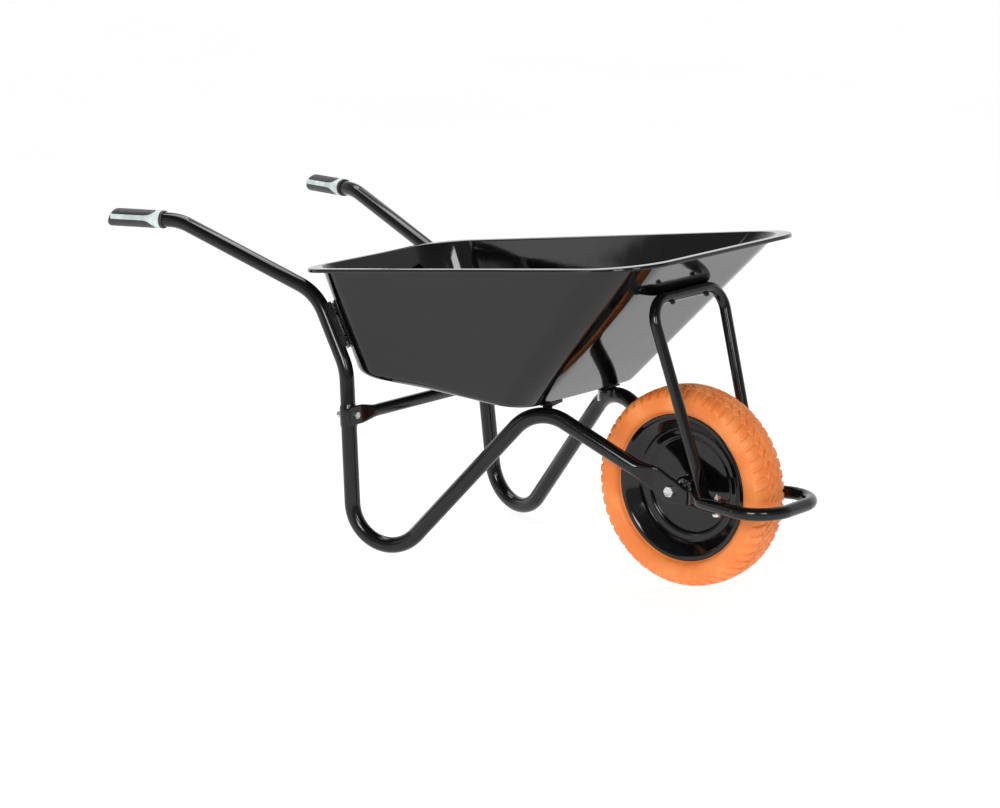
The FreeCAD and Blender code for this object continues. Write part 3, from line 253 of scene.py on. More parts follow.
def crest(side):
    return at(-279.8, side * 121.1, 335.0)


def on_leg(side, high):
    """Point of the straight run from knee to foot at a height."""
    share = (high - knee(side).z) / (foot(side).z - knee(side).z)
    return mix(knee(side), foot(side), share)


def leg_direction(side):
    return (foot(side) - knee(side)).normalized()


def joint_axis():
    """Direction of the joint bolts, forward and square to the legs."""
    return (-LEFT).cross(leg_direction(1)).normalized()


# ------------------------------------------------------------------ materials

def new_material(name):
    material = bpy.data.materials.new(name)
    material.use_nodes = True
    tree = material.node_tree
    return material, tree, tree.nodes["Principled BSDF"]


def noise(tree, scale, detail=4.0, roughness=0.5, stretch=None, distortion=0.0):
    """A noise texture in object space, in cycles per metre."""
    place = tree.nodes.new("ShaderNodeTexCoord")
    texture = tree.nodes.new("ShaderNodeTexNoise")
    texture.inputs["Scale"].default_value = scale
    texture.inputs["Detail"].default_value = detail
    texture.inputs["Roughness"].default_value = roughness
    texture.inputs["Distortion"].default_value = distortion
    if stretch:
        mapping = tree.nodes.new("ShaderNodeMapping")
        mapping.inputs["Scale"].default_value = stretch
        tree.links.new(place.outputs["Object"], mapping.inputs["Vector"])
        tree.links.new(mapping.outputs["Vector"], texture.inputs["Vector"])
    else:
        tree.links.new(place.outputs["Object"], texture.inputs["Vector"])
    return texture.outputs["Fac"]


def ramp(tree, source, low, high, low_value, high_value):
    """Numbers from low_value to high_value as the source goes from low to high."""
    node = tree.nodes.new("ShaderNodeMapRange")
    node.interpolation_type = "SMOOTHSTEP"
    sockets = (("From Min", low), ("From Max", high), ("To Min", low_value), ("To Max", high_value))
    for name, value in sockets:
        node.inputs[name].default_value = value
    tree.links.new(source, node.inputs["Value"])
    return node.outputs["Result"]


def blend_colour(tree, share, first, second):
    node = tree.nodes.new("ShaderNodeMix")
    node.data_type = "RGBA"
    for socket, colour in ((6, first), (7, second)):
        if isinstance(colour, tuple):
            node.inputs[socket].default_value = (*colour, 1)
        else:
            tree.links.new(colour, node.inputs[socket])
    tree.links.new(share, node.inputs[0])
    return node.outputs[2]


def bump(tree, source, strength, depth, under=None):
    node = tree.nodes.new("ShaderNodeBump")
    node.inputs["Strength"].default_value = strength
    node.inputs["Distance"].default_value = depth
    tree.links.new(source, node.inputs["Height"])
    if under:
        tree.links.new(under, node.inputs["Normal"])
    return node.outputs["Normal"]


def enamel(name, tint, gloss, wear=0.08, orange_peel=0.06):
    """Stoved black enamel: slow waves, faint orange peel, a little dust and hairline scratches."""
    material, tree, shader = new_material(name)
    normal = bump(tree, noise(tree, 8, 1.5), 0.2, 0.004)
    normal = bump(tree, noise(tree, 260, 2.0), orange_peel, 0.0003, normal)
    tree.links.new(normal, shader.inputs["Normal"])
    dust = ramp(tree, noise(tree, 34, 6.0, 0.62), 0.45, 0.75, 0.0, 0.6)
    lighter = tuple(value * 1.8 + 0.001 for value in tint)
    tree.links.new(blend_colour(tree, dust, tint, lighter), shader.inputs["Base Color"])
    worn = ramp(tree, noise(tree, 90, 8.0, 0.7, (1, 1, 0.25)), 0.4, 0.8, gloss, gloss + wear)
    tree.links.new(worn, shader.inputs["Roughness"])
    shader.inputs["IOR"].default_value = 1.45
    return material


def foam(name):
    """Foamed polyurethane: flat bright orange, paler where it is rubbed, with fine pores."""
    material, tree, shader = new_material(name)
    patches = ramp(tree, noise(tree, 14, 5.0, 0.6), 0.35, 0.7, 0.0, 1.0)
    base = blend_colour(tree, patches, (0.90, 0.225, 0.04), (0.97, 0.31, 0.08))
    speck = ramp(tree, noise(tree, 420, 3.0, 0.7), 0.62, 0.8, 0.0, 0.35)
    colour = blend_colour(tree, speck, base, (0.62, 0.12, 0.02))
    tree.links.new(colour, shader.inputs["Base Color"])
    tree.links.new(ramp(tree, noise(tree, 60, 5.0), 0.3, 0.7, 0.44, 0.6), shader.inputs["Roughness"])
    skin = bump(tree, noise(tree, 25, 3.0), 0.2, 0.002)
    tree.links.new(bump(tree, noise(tree, 700, 4.0, 0.7), 0.25, 0.0005, skin), shader.inputs["Normal"])
    shader.inputs["Subsurface Weight"].default_value = 0.06
    shader.inputs["Subsurface Radius"].default_value = (0.004, 0.0015, 0.0006)
    shader.inputs["Subsurface Scale"].default_value = 1.0
    return material


def rubber(name, tint, roughness, grain=900):
    """Moulded rubber or soft plastic with a fine stippled skin."""
    material, tree, shader = new_material(name)
    patches = ramp(tree, noise(tree, 40, 5.0, 0.6), 0.35, 0.7, 0.0, 1.0)
    lighter = tuple(value * 1.35 + 0.006 for value in tint)
    tree.links.new(blend_colour(tree, patches, tint, lighter), shader.inputs["Base Color"])
    tree.links.new(ramp(tree, noise(tree, 120, 4.0), 0.3, 0.7, roughness - 0.05, roughness + 0.08),
                   shader.inputs["Roughness"])
    tree.links.new(bump(tree, noise(tree, grain, 3.0, 0.7), 0.35, 0.0004), shader.inputs["Normal"])
    return material


def plated(name, tint, roughness):
    """Zinc plate or turned steel: metal with cloudy tarnish and fine tool marks."""
    material, tree, shader = new_material(name)
    cloud = ramp(tree, noise(tree, 220, 5.0, 0.6), 0.35, 0.7, 0.0, 1.0)
    darker = tuple(value * 0.72 for value in tint)
    tree.links.new(blend_colour(tree, cloud, tint, darker), shader.inputs["Base Color"])
    shader.inputs["Metallic"].default_value = 1.0
    tree.links.new(ramp(tree, noise(tree, 500, 6.0, 0.7), 0.3, 0.75, roughness - 0.06, roughness + 0.12),
                   shader.inputs["Roughness"])
    tree.links.new(bump(tree, noise(tree, 1500, 2.0, 0.5, (1, 0.2, 1)), 0.2, 0.0002),
                   shader.inputs["Normal"])
    return material


TRAY_ENAMEL = enamel("tray_enamel", (0.0026, 0.0024, 0.0025), 0.06, 0.05)
FRAME_ENAMEL = enamel("frame_enamel", (0.0034, 0.0032, 0.0033), 0.12, 0.1, 0.1)
RIM_ENAMEL = enamel("rim_enamel", (0.0032, 0.0030, 0.0031), 0.07, 0.05)
TYRE_FOAM = foam("tyre_foam")
GRIP_RUBBER = rubber("grip_rubber", (0.028, 0.028, 0.031), 0.5)
GRIP_INLAY = rubber("grip_inlay", (0.54, 0.625, 0.615), 0.42, 500)
ZINC = plated("zinc", (0.72, 0.73, 0.74), 0.3)
BEARING = plated("bearing_steel", (0.55, 0.55, 0.57), 0.22)
BLACK_FASTENER = enamel("black_fastener", (0.010, 0.010, 0.010), 0.28)
MATERIALS = {"tray_enamel": TRAY_ENAMEL, "frame_enamel": FRAME_ENAMEL, "rim_enamel": RIM_ENAMEL,
             "tyre_foam": TYRE_FOAM, "grip_rubber": GRIP_RUBBER, "grip_inlay": GRIP_INLAY,
             "zinc": ZINC, "bearing_steel": BEARING, "black_fastener": BLACK_FASTENER}


# ------------------------------------------------------------------ tube frame

def round_run(stations, radius, wide_of):
    return [oval(place, direction, wide_of(direction), radius, radius) for place, direction in stations]


def closing(ring, shrink):
    """The ring pulled in a little towards its middle, for a softened end."""
    middle = sum(ring, Vector()) / len(ring)
    return [mix(point, middle, shrink) for point in ring]


def handle_tube(side_name):
    """Grip end, bend, slope and knee, down to the widened socket round the leg frame's spigot."""
    side = SIDES[side_name]
    end, forward = grip_frame(side)
    start = end + forward * (GRIP_SLANT + 4)
    top, bottom = SOCKET_TOP, SOCKET_BOTTOM
    stations = spine([start, bend(side), at(-767.7, side * 209.5, 509.1), knee(side),
                      on_leg(side, top + 8)], [120.0, 108.0, 110.0])
    rings = round_run(stations, HANDLE_RADIUS, lambda direction: LEFT.cross(direction))
    down = leg_direction(side)
    wide = LEFT.cross(down)
    for high, radius in ((top + 6.5, HANDLE_RADIUS + 0.15), (top + 4, HANDLE_RADIUS + 0.9),
                         (top + 1.5, SOCKET_RADIUS - 0.6), (top - 1, SOCKET_RADIUS - 0.08),
                         (top - 4, SOCKET_RADIUS), (bottom + 1, SOCKET_RADIUS),
                         (bottom + 0.2, SOCKET_RADIUS - 0.3), (bottom, SOCKET_RADIUS - 0.9)):
        rings.append(oval(on_leg(side, high), down, wide, radius, radius))
    parts = Parts()
    parts.rings(rings)
    parts.make("Handle_tube_" + side_name, "frame", "handle_tube_" + side_name, "frame_enamel",
               FRAME_ENAMEL)


def leg_frame(side_name):
    """Spigot, leg, U-shaped foot, rising run and crest, down to the flat plate at the axle."""
    side = SIDES[side_name]
    toward = at(0, side * PLATE_OUT, AXLE_HIGH)
    share = (at(-78, 0, 0).x - crest(side).x) / (toward.x - crest(side).x)
    round_end = mix(crest(side), toward, share)
    stations = spine([on_leg(side, 262.0), foot(side), crest(side), round_end], [82.6, 88.0])
    rings = round_run(stations, LEG_RADIUS, lambda direction: LEFT.cross(direction))
    # the end is squashed to a flat plate that curves forward to the axle
    fall = (round_end - crest(side)).normalized()
    knots = [(round_end, fall * 46, 15.9, 15.9),
             (at(-35, side * PLATE_OUT, AXLE_HIGH + 17), Vector((40, 0, -18.5)), 24.0, 3.7),
             (at(-2, side * PLATE_OUT, AXLE_HIGH + 0.8), Vector((36, 0, -12)), 24.6, 3.7),
             (at(38, side * PLATE_OUT, AXLE_HIGH - 7.5), Vector((30, 0, -2)), 15.5, 3.7)]
    for (here, slope, wide, thin), (there, next_slope, next_wide, next_thin) in zip(knots, knots[1:]):
        for step in range(1, 13):
            part = step / 12
            place, direction = hermite(here, slope, there, next_slope, part)
            rings.append(oval(place, direction, LEFT.cross(direction), mix(wide, next_wide, ease(part)),
                              mix(thin, next_thin, ease(part ** 0.8))))
    rings.append(closing(rings[-1], 0.25))
    parts = Parts()
    parts.rings(rings)
    parts.make("Leg_frame_" + side_name, "frame", "leg_frame_" + side_name, "frame_enamel", FRAME_ENAMEL)


def nose_hoop():
    """A tube round the wheel, whose ends are squashed into tongues inside the leg frames' plates."""
    rings = []
    route = [at(85, -78.5, HOOP_HIGH), at(240, -112, HOOP_HIGH), at(240, 112, HOOP_HIGH),
             at(85, 78.5, HOOP_HIGH)]
    stations = spine(route, [66.0, 66.0])
    middle = round_run(stations, HOOP_RADIUS, lambda direction: UP)
    for side in (-1, 1):
        start = at(36, side * PLATE_OUT, HOOP_HIGH + 2.5)
        round_place = route[0] if side < 0 else route[3]
        heading = (route[1] - route[0]).normalized()
        heading.y *= -side
        end = []
        for step in range(19):
            part = step / 18
            place, direction = hermite(start, Vector((42, 0, 0)), round_place, heading * 48, part)
            wide = mix(15.0, HOOP_RADIUS, ease(part))
            thin = mix(1.6, HOOP_RADIUS, ease(max(0.0, (part - 0.08) / 0.92)) ** 0.85)
            if side > 0:
                direction = -direction
            end.append(oval(place, direction, UP, wide, min(thin, wide)))
        rings = end[:-1] + middle if side < 0 else rings + end[::-1][1:]
    parts = Parts()
    parts.rings(rings)
    parts.make("Nose_hoop", "frame", "nose_hoop", "frame_enamel", FRAME_ENAMEL)


def front_stay():
    """An upside-down U of tube, whose ends are squashed and bent forward as feet on the hoop."""
    uppers = {side: at(-18.4, side * 116.5, STAY_TOP) for side in (-1, 1)}
    lowers = {side: at(91.5, side * 85.4, STAY_FOOT) for side in (-1, 1)}
    squash = (262.0 - STAY_FOOT) / (STAY_TOP - STAY_FOOT)
    starts = {side: mix(lowers[side], uppers[side], squash) for side in (-1, 1)}
    face = (uppers[1] - uppers[-1]).cross(lowers[-1] - uppers[-1]).normalized()
    stations = spine([starts[-1], uppers[-1], uppers[1], starts[1]], [45.0, 45.0])
    middle = round_run(stations, STAY_RADIUS, lambda direction: face.cross(direction))
    ends = {}
    for side in (-1, 1):
        fall = (lowers[side] - uppers[side]).normalized()
        flat = mix(starts[side], lowers[side], 0.8)
        steps = []
        for step in range(1, 15):
            part = step / 14
            steps.append((mix(starts[side], flat, part), fall, mix(STAY_RADIUS, TONGUE_HALF, ease(part)),
                          mix(STAY_RADIUS, 1.6, ease(part ** 0.9))))
        toe = at(137.5, side * 88.0, STAY_FOOT)
        for place, direction in spine([flat, lowers[side], toe], [7.0], math.radians(12))[1:]:
            steps.append((place, direction, TONGUE_HALF, 1.6))
        for back, wide, thin in ((0.4, 16.0, 1.4), (0.0, 15.5, 0.9)):
            place, direction = toe + FORWARD * (1.5 - back), FORWARD
            steps.append((place, direction, wide, thin))
        ends[side] = steps
    rings = []
    for place, direction, wide, thin in reversed(ends[-1]):
        hint = (-face).cross(direction)
        rings.append(oval(place, -direction, hint, wide, thin))
    rings += middle
    for place, direction, wide, thin in ends[1]:
        rings.append(oval(place, direction, face.cross(direction), wide, thin))
    parts = Parts()
    parts.rings(rings)
    parts.make("Front_stay", "frame", "front_stay", "frame_enamel", FRAME_ENAMEL)


def cross_brace():
    """A tube whose ends are squashed flat against the front of the two sockets."""
    joint = on_leg(1, JOINT_HIGH)
    thin = joint_axis()
    front = joint + thin * (SOCKET_RADIUS + 1.5)
    middle = Vector((front.x, 0, front.z))
    wide = thin.cross(LEFT)
    flat_half, end = 19.1, joint.y + 16.5
    flat_start, round_start = joint.y - 12, joint.y - 62
    steps = [(end, flat_half - 1.4, 1.0), (end - 0.5, flat_half - 0.6, 1.3), (end - 1.5, flat_half, 1.5),
             (flat_start, flat_half, 1.5)]
    for step in range(1, 13):
        part = step / 12
        steps.append((mix(flat_start, round_start, part), mix(flat_half, BRACE_RADIUS, ease(part)),
                      mix(1.5, BRACE_RADIUS, ease(part ** 0.8))))
    order = [(-out, half, thick) for out, half, thick in steps] + list(reversed(steps))
    rings = [oval(middle + LEFT * out, LEFT, wide, half, min(half, thick)) for out, half, thick in order]
    parts = Parts()
    parts.rings(rings)
    parts.make("Cross_brace", "frame", "cross_brace", "frame_enamel", FRAME_ENAMEL)


# ------------------------------------------------------------------ tray

RIM_HIGH, RIM_TILT = 652.6, math.radians(6.82)
FLOOR_HIGH, FLOOR_TILT = 325.9, math.radians(2.29)
FLANGE, LIP, SHEET = 20.0, 8.0, 1.2
LIP_LEAN = 1.4           # how far the lip's lower edge stands out from its top


def pan_outline(rear, front, rear_half, front_half, rear_corner, front_corner, arc_steps=20, side_steps=14):
    """Points round a tapered rectangle with round corners, starting in front on the left."""
    taper = math.atan2(front_half - rear_half, front - rear)
    quarter = math.pi / 2
    corners = [(front - front_corner, front_half - front_corner, front_corner, 0, quarter + taper),
               (rear + rear_corner, rear_half - rear_corner, rear_corner, quarter + taper, 2 * quarter),
               (rear + rear_corner, rear_corner - rear_half, rear_corner, 2 * quarter,
                3 * quarter - taper),
               (front - front_corner, front_corner - front_half, front_corner, 3 * quarter - taper,
                4 * quarter)]
    points = []
    for number, (across, up, radius, start, end) in enumerate(corners):
        arc = [Vector((across + radius * math.cos(turn), up + radius * math.sin(turn)))
               for turn in (mix(start, end, step / arc_steps) for step in range(arc_steps + 1))]
        points.extend(arc)
        following = corners[(number + 1) % 4]
        next_start = Vector((following[0] + following[2] * math.cos(following[3]),
                             following[1] + following[2] * math.sin(following[3])))
        points.extend(mix(arc[-1], next_start, step / side_steps) for step in range(1, side_steps))
    return points


def on_rim(spot, depth=0.0):
    """A point of the rim's outline, at a depth below the rim's top plane."""
    return at(spot.x * math.cos(RIM_TILT) + depth * math.sin(RIM_TILT), spot.y,
              RIM_HIGH + spot.x * math.sin(RIM_TILT) - depth * math.cos(RIM_TILT))


def on_floor(spot):
    return at(spot.x * math.cos(FLOOR_TILT), spot.y, FLOOR_HIGH - spot.x * math.sin(FLOOR_TILT))


def rim_outline(inset, rear_corner, front_corner):
    """The rim's outer edge moved inward, with the given corner radii."""
    return pan_outline(inset - 821.8, 78.6 - inset, 234.2 - inset, 288.8 - inset, rear_corner, front_corner)


def edge_outline(inset):
    return rim_outline(inset, 80.0 - inset, 105.0 - inset)


def corner_arc(before, corner, after, radius, steps):
    """Points that round the corner between two straight runs."""
    turn = math.pi - (before - corner).angle(after - corner)
    reach = radius * math.tan(turn / 2)
    first = corner + (before - corner).normalized() * reach
    last = corner + (after - corner).normalized() * reach
    weight = math.cos(turn / 2)
    points = []
    for step in range(steps + 1):
        share = step / steps
        low, middle, high = (1 - share) ** 2, 2 * share * (1 - share) * weight, share ** 2
        points.append((first * low + corner * middle + last * high) / (low + middle + high))
    return points


def tray_column(middle, low, opening, edge, hem):
    """Outer skin from the middle of the floor up the wall, out along the flange and down the lip."""
    wall = (opening - low).normalized()
    under = opening - wall * (SHEET / max(0.3, wall.z))
    column = [mix(middle, low, share) for share in (0.12, 0.3, 0.5, 0.7, 0.85)]
    column += corner_arc(middle, low, under, 24.0, 8)
    column += [mix(column[-1], under, share) for share in (0.2, 0.4, 0.6, 0.8)]
    column += corner_arc(low, under, edge, 4.0, 5)
    column += [mix(under, edge, share) for share in (0.45, 0.65)]
    column += corner_arc(under, edge, hem, 3.0, 6)
    column.append(hem)
    return column


def tray():
    """The pressed pan: its outer skin, thickened inward to the sheet."""
    floor = [on_floor(spot) for spot in pan_outline(-712.0, -262.2, 201.0, 196.0, 91.0, 57.0)]
    opening = [on_rim(spot) for spot in rim_outline(FLANGE, 88.0, 110.0)]
    edge = [on_rim(spot, SHEET) for spot in edge_outline(SHEET + LIP_LEAN)]
    hem = [on_rim(spot, LIP) for spot in edge_outline(SHEET)]
    middle = sum(floor, Vector()) / len(floor)
    columns = [tray_column(middle, *spots) for spots in zip(floor, opening, edge, hem)]
    parts = Parts()
    parts.rings([list(ring) for ring in zip(*columns)], caps=False)
    start = len(parts.points)
    parts.points.append(middle)
    count = len(floor)
    for n in range(count):
        parts.faces.append((start, (n + 1) % count, n))
    thing = parts.make("Tray", "frame", "tray", "tray_enamel", TRAY_ENAMEL, math.radians(60))
    thicken = thing.modifiers.new("sheet", "SOLIDIFY")
    thicken.thickness = SHEET * MM
    thicken.offset = 1.0
    thicken.use_even_offset = True


# ------------------------------------------------------------------ wheel

WHEEL = at(0, 0, AXLE_HIGH)
PITCHES = 54             # tread blocks round the tyre
PITCH_LENGTH = 22.7
TYRE_RADIUS, TYRE_HALF = 195.0, 47.0
TREAD_DEEP = 3.0


def groove(distance, half_width, soft):
    """1 in the groove and 0 away from it."""
    return 1 - ease((abs(distance) - half_width) / soft)


def nearest(value):
    """Signed distance to the nearest whole number."""
    return value - math.floor(value + 0.5)


def tread_depth(out, turn):
    """How deep the tread is cut at a distance from the middle plane and an angle, from 0 to 1."""
    pitch = turn * PITCHES / (2 * math.pi)
    far = abs(out)
    if out < 0:
        pitch += 0.5
    zigzag = groove(far - 16.0 - 2.6 * abs(nearest(pitch) * 2), 0.9, 1.3)
    slanted = groove(nearest(pitch + far * 0.05) * PITCH_LENGTH, 1.2, 1.4) * (1 - ease((far - 15) / 3))
    sipe = groove(nearest(pitch - far * 0.035 + 0.5) * PITCH_LENGTH, 0.4, 0.9)
    sipe *= ease((far - 4) / 2) * (1 - ease((far - 13) / 2))
    slot = groove(nearest(pitch + 0.35 + (far - 20) * 0.012) * PITCH_LENGTH, 2.4, 2.2) * ease((far - 19) / 2)
    rib = groove(far, 0.6, 0.9)
    return max(zigzag * 0.75, slanted * 0.8, sipe * 0.5, slot, rib * 0.35)


def smooth_profile(profile, times):
    for _ in range(times):
        inner = [((a[0] + 2 * b[0] + c[0]) / 4, (a[1] + 2 * b[1] + c[1]) / 4)
                 for a, b, c in zip(profile, profile[1:], profile[2:])]
        profile = [profile[0]] + inner + [profile[-1]]
    return profile


def tyre():
    """Solid tyre with a smooth side, rounded shoulders and cut tread."""
    outline = [(31.9, 138.0), (32.1, 145.0), (33.5, 145.4), (38.0, 146.0), (44.2, 152.5), (46.6, 161.5),
               (TYRE_HALF, 168.0), (46.4, 177.0), (42.8, 184.2), (36.5, 189.0), (27.5, 192.3),
               (15.0, 194.2), (0.0, TYRE_RADIUS)]
    half_profile = []
    for (out, radius), (next_out, next_radius) in zip(outline, outline[1:]):
        length = math.hypot(next_out - out, next_radius - radius)
        steps = max(1, round(length / (0.75 if radius > 170 else 2.0)))
        for step in range(steps):
            half_profile.append((mix(out, next_out, step / steps), mix(radius, next_radius, step / steps)))
    half_profile = smooth_profile(half_profile, 3)
    full = half_profile + [(0.0, TYRE_RADIUS)] + [(-out, radius) for out, radius in reversed(half_profile)]
    inside = [(-28.7, 135.2), (-11.0, 116.4), (-6.3, 113.4), (6.3, 113.4), (11.0, 116.4), (28.7, 135.2)]
    around = PITCHES * 22
    rings = []
    for n in range(around):
        turn = 2 * math.pi * n / around
        out_dir = FORWARD * math.cos(turn) + UP * math.sin(turn)
        ring = []
        for out, radius in full:
            fade = ease((radius - 176.0) / 9.0)
            cut = tread_depth(out, turn) * TREAD_DEEP * fade if fade > 0 else 0.0
            slope = Vector((out / TYRE_HALF, (radius - 150) / 45)).normalized()
            ring.append(WHEEL + LEFT * (out - slope.x * cut) + out_dir * (radius - slope.y * cut))
        ring += [WHEEL + LEFT * out + out_dir * radius for out, radius in inside]
        rings.append(ring)
    parts = Parts()
    parts.rings(rings, closed=True)
    parts.make("Tyre", "wheel", "tyre", "tyre_foam", TYRE_FOAM, math.radians(50))


def rim_half(side_name):
    """Pressed disc: rolled flange, dish, step ring and flat middle."""
    side = SIDES[side_name]
    face = [(32.6, 143.4), (34.0, 142.0), (34.0, 135.5), (31.2, 131.8), (13.0, 113.5), (8.4, 110.5),
            (7.4, 107.5), (6.9, 98.5), (5.6, 95.0), (1.75, 91.2), (1.6, 88.0), (1.6, 20.3)]
    back = [(0.0, 20.3), (0.0, 92.2), (5.0, 97.2), (5.6, 108.5), (6.7, 111.4), (11.5, 114.8),
            (30.0, 133.2), (32.4, 136.2), (32.4, 141.0), (31.7, 142.6)]
    profile = rounded([(side * out, radius) for out, radius in face], 2.2)
    profile += rounded([(side * out, radius) for out, radius in back], 1.2, 2)
    around = 192
    rings = []
    for n in range(around):
        turn = 2 * math.pi * n / around
        out_dir = FORWARD * math.cos(turn) + UP * math.sin(turn)
        rings.append([WHEEL + LEFT * out + out_dir * radius for out, radius in profile])
    parts = Parts()
    parts.rings(rings, closed=True)
    parts.make("Rim_half_" + side_name, "wheel", "rim_half_" + side_name, "rim_enamel", RIM_ENAMEL)


# ------------------------------------------------------------------ grips

def grip(side_name):
    """Rubber sleeve with a closed, slanted rear end and a collar in front of the pale ring."""
    side = SIDES[side_name]
    end, forward = grip_frame(side)
    profile = [(0.0, 0.01), (0.0, 9.5), (0.35, 12.0), (1.5, 14.6), (3.2, 16.4), (5.4, 17.6), (8.0, 18.2),
               (11.0, GRIP_RADIUS)]
    profile += [(along, GRIP_RADIUS) for along in range(14, 124, 3)]
    profile += [(RING_FRONT + ahead, radius)
                for ahead, radius in ((0, GRIP_RADIUS), (0.3, 17.9), (1.0, 17.7), (1.7, 17.9), (2.2, 18.3))]
    profile += [(GRIP_LENGTH - back, radius)
                for back, radius in ((1.4, 18.3), (0.3, 17.8), (0, 16.9), (0, 15.05), (6.0, 15.02))]
    up = forward.cross(UP.cross(forward).normalized())
    rings = []
    for (along, radius), ring in zip(profile, turned(profile, end, forward, 72)):
        fade = 1 - ease(along / 60)
        rings.append([point + forward * (GRIP_SLANT * fade * ((point - end).dot(up) / GRIP_RADIUS + 1) / 2)
                      for point in ring])
    parts = Parts()
    parts.rings(rings)
    parts.make("Grip_" + side_name, "frame", "grip_" + side_name, "grip_rubber", GRIP_RUBBER)


STRIPE_LOW, STRIPE_HIGH, STRIPE_BACK = -2.25, 9.25, 15.0


def inlay_span(along):
    """Lowest and highest angle that the pale inlay covers on each side, at a place along the grip."""
    flare = min(1.0, max(0.0, 1 - (RING_BACK - along) / 34.0)) ** 3.2
    low = mix(STRIPE_LOW, -GRIP_RADIUS, flare)
    high = mix(STRIPE_HIGH, GRIP_RADIUS, flare)
    return math.asin(low / GRIP_RADIUS), math.asin(high / GRIP_RADIUS)


def grip_inlay(side_name):
    """Two stripes that flare into a ring, standing a hair proud of the rubber."""
    side = SIDES[side_name]
    end, forward = grip_frame(side)
    left = UP.cross(forward).normalized()
    up = forward.cross(left)
    places = [STRIPE_BACK, STRIPE_BACK + 0.6, STRIPE_BACK + 1.6]
    places += [mix(STRIPE_BACK + 1.6, RING_BACK, n / 60) for n in range(1, 61)]
    places += [RING_FRONT - 1.5, RING_FRONT]
    count = 40
    parts = Parts()
    for face in (-1, 1):
        rings = []
        for number, along in enumerate(places):
            low, high = inlay_span(along)
            lift = 0.14 if 0 < number < len(places) - 1 else -0.4
            outer, inner = [], []
            for n in range(count + 1):
                turn = mix(low, high, n / count)
                edge = 0.0 if high > 1.5 else ease(abs(2 * n / count - 1) * 4 - 3) * 0.5
                out = left * face * math.cos(turn) + up * math.sin(turn)
                outer.append(end + forward * along + out * (GRIP_RADIUS + lift - edge))
                inner.append(end + forward * along + out * (GRIP_RADIUS - 1.6))
            ring = outer + inner[::-1]
            rings.append(ring if face > 0 else ring[::-1])
        parts.rings(rings)
    parts.make("Grip_inlay_" + side_name, "frame", "grip_inlay_" + side_name, "grip_inlay", GRIP_INLAY)


# ------------------------------------------------------------------ fasteners

def hexagon_radius(turn, flats):
    """Distance from the middle of a hexagon to its edge at an angle."""
    return flats / 2 / math.cos((turn + math.pi / 6) % (math.pi / 3) - math.pi / 6)


def hex_rings(centre, axis, flats, height, bore=0.0, both=False, spin=0.0):
    """Rings of a hexagon with chamfered corners, from its seat to its top."""
    axis = axis.normalized()
    out = (UP - axis * UP.dot(axis)) if abs(axis.z) < 0.9 else FORWARD.copy()
    out = (out - axis * out.dot(axis)).normalized()
    side = axis.cross(out)
    count = 72
    circle = flats / 2 * 0.95

    def ring(level, limit):
        """Level of the ring, and the radius that it doesn't pass."""
        points = []
        for n in range(count):
            turn = 2 * math.pi * n / count
            edge = hexagon_radius(turn + spin, flats)
            radius = min(edge, limit) if limit else edge
            drop = max(0.0, edge - circle) * 0.5 if limit is None else 0.0
            down = height - level
            high = level - drop if down < height / 2 else level + (drop if both else 0)
            points.append(centre + axis * high
                          + (out * math.cos(turn) + side * math.sin(turn)) * radius)
        return points

    rings = []
    if bore:
        rings += turned([(0.0, bore), (0.0, bore + 0.4)], centre, axis, count, out)
    else:
        rings.append([centre + (point - centre) * 0.02 for point in ring(0.0, circle)])
    rings.append(ring(0.0, circle))
    rings.append(ring(0.0, None))
    rings.append(ring(height, None))
    rings.append(ring(height, circle))
    if bore:
        rings += turned([(height, bore + 0.5), (height - 0.5, bore)], centre, axis, count, out)
    else:
        dish = [point - axis * 0.25 for point in ring(height, circle * 0.86)]
        rings += [ring(height, circle * 0.9), dish,
                  [centre + axis * (height - 0.25) + (point - centre - axis * (height - 0.25)) * 0.02
                   for point in dish]]
    return rings


def thread(parts, start, axis, radius, length, pitch=1.25):
    """A screw thread with a chamfered end."""
    axis = axis.normalized()
    out = (UP - axis * UP.dot(axis)) if abs(axis.z) < 0.9 else FORWARD.copy()
    out = (out - axis * out.dot(axis)).normalized()
    side = axis.cross(out)
    count = 32
    rings = []
    steps = max(6, math.ceil(length / pitch * 6))
    for step in range(steps + 1):
        along = length * step / steps
        ring = []
        for n in range(count):
            turn = 2 * math.pi * n / count
            wave = abs(((along / pitch - n / count) % 1.0) * 2 - 1)
            limit = radius - max(0.0, along - length + radius * 0.22)
            here = min(limit, radius - 0.62 * pitch * wave * 0.9)
            ring.append(start + axis * along + (out * math.cos(turn) + side * math.sin(turn)) * here)
        rings.append(ring)
    parts.rings(rings)


def hex_bolt(parts, seat, axis, diameter, head, length, threaded, flats=None):
    """Head behind the seat, plain shank along the axis, and a threaded end."""
    flats = flats or diameter * 1.6
    axis = axis.normalized()
    parts.rings(hex_rings(seat, -axis, flats, head))
    plain = length - threaded
    parts.rings(turned([(0.0, diameter / 2), (plain, diameter / 2)], seat, axis, 40))
    thread(parts, seat + axis * plain, axis, diameter / 2, threaded)


def hex_nut(parts, seat, axis, diameter, height, flats=None):
    parts.rings(hex_rings(seat, axis, flats or diameter * 1.6, height, diameter / 2 + 0.02, True),
                closed=True)


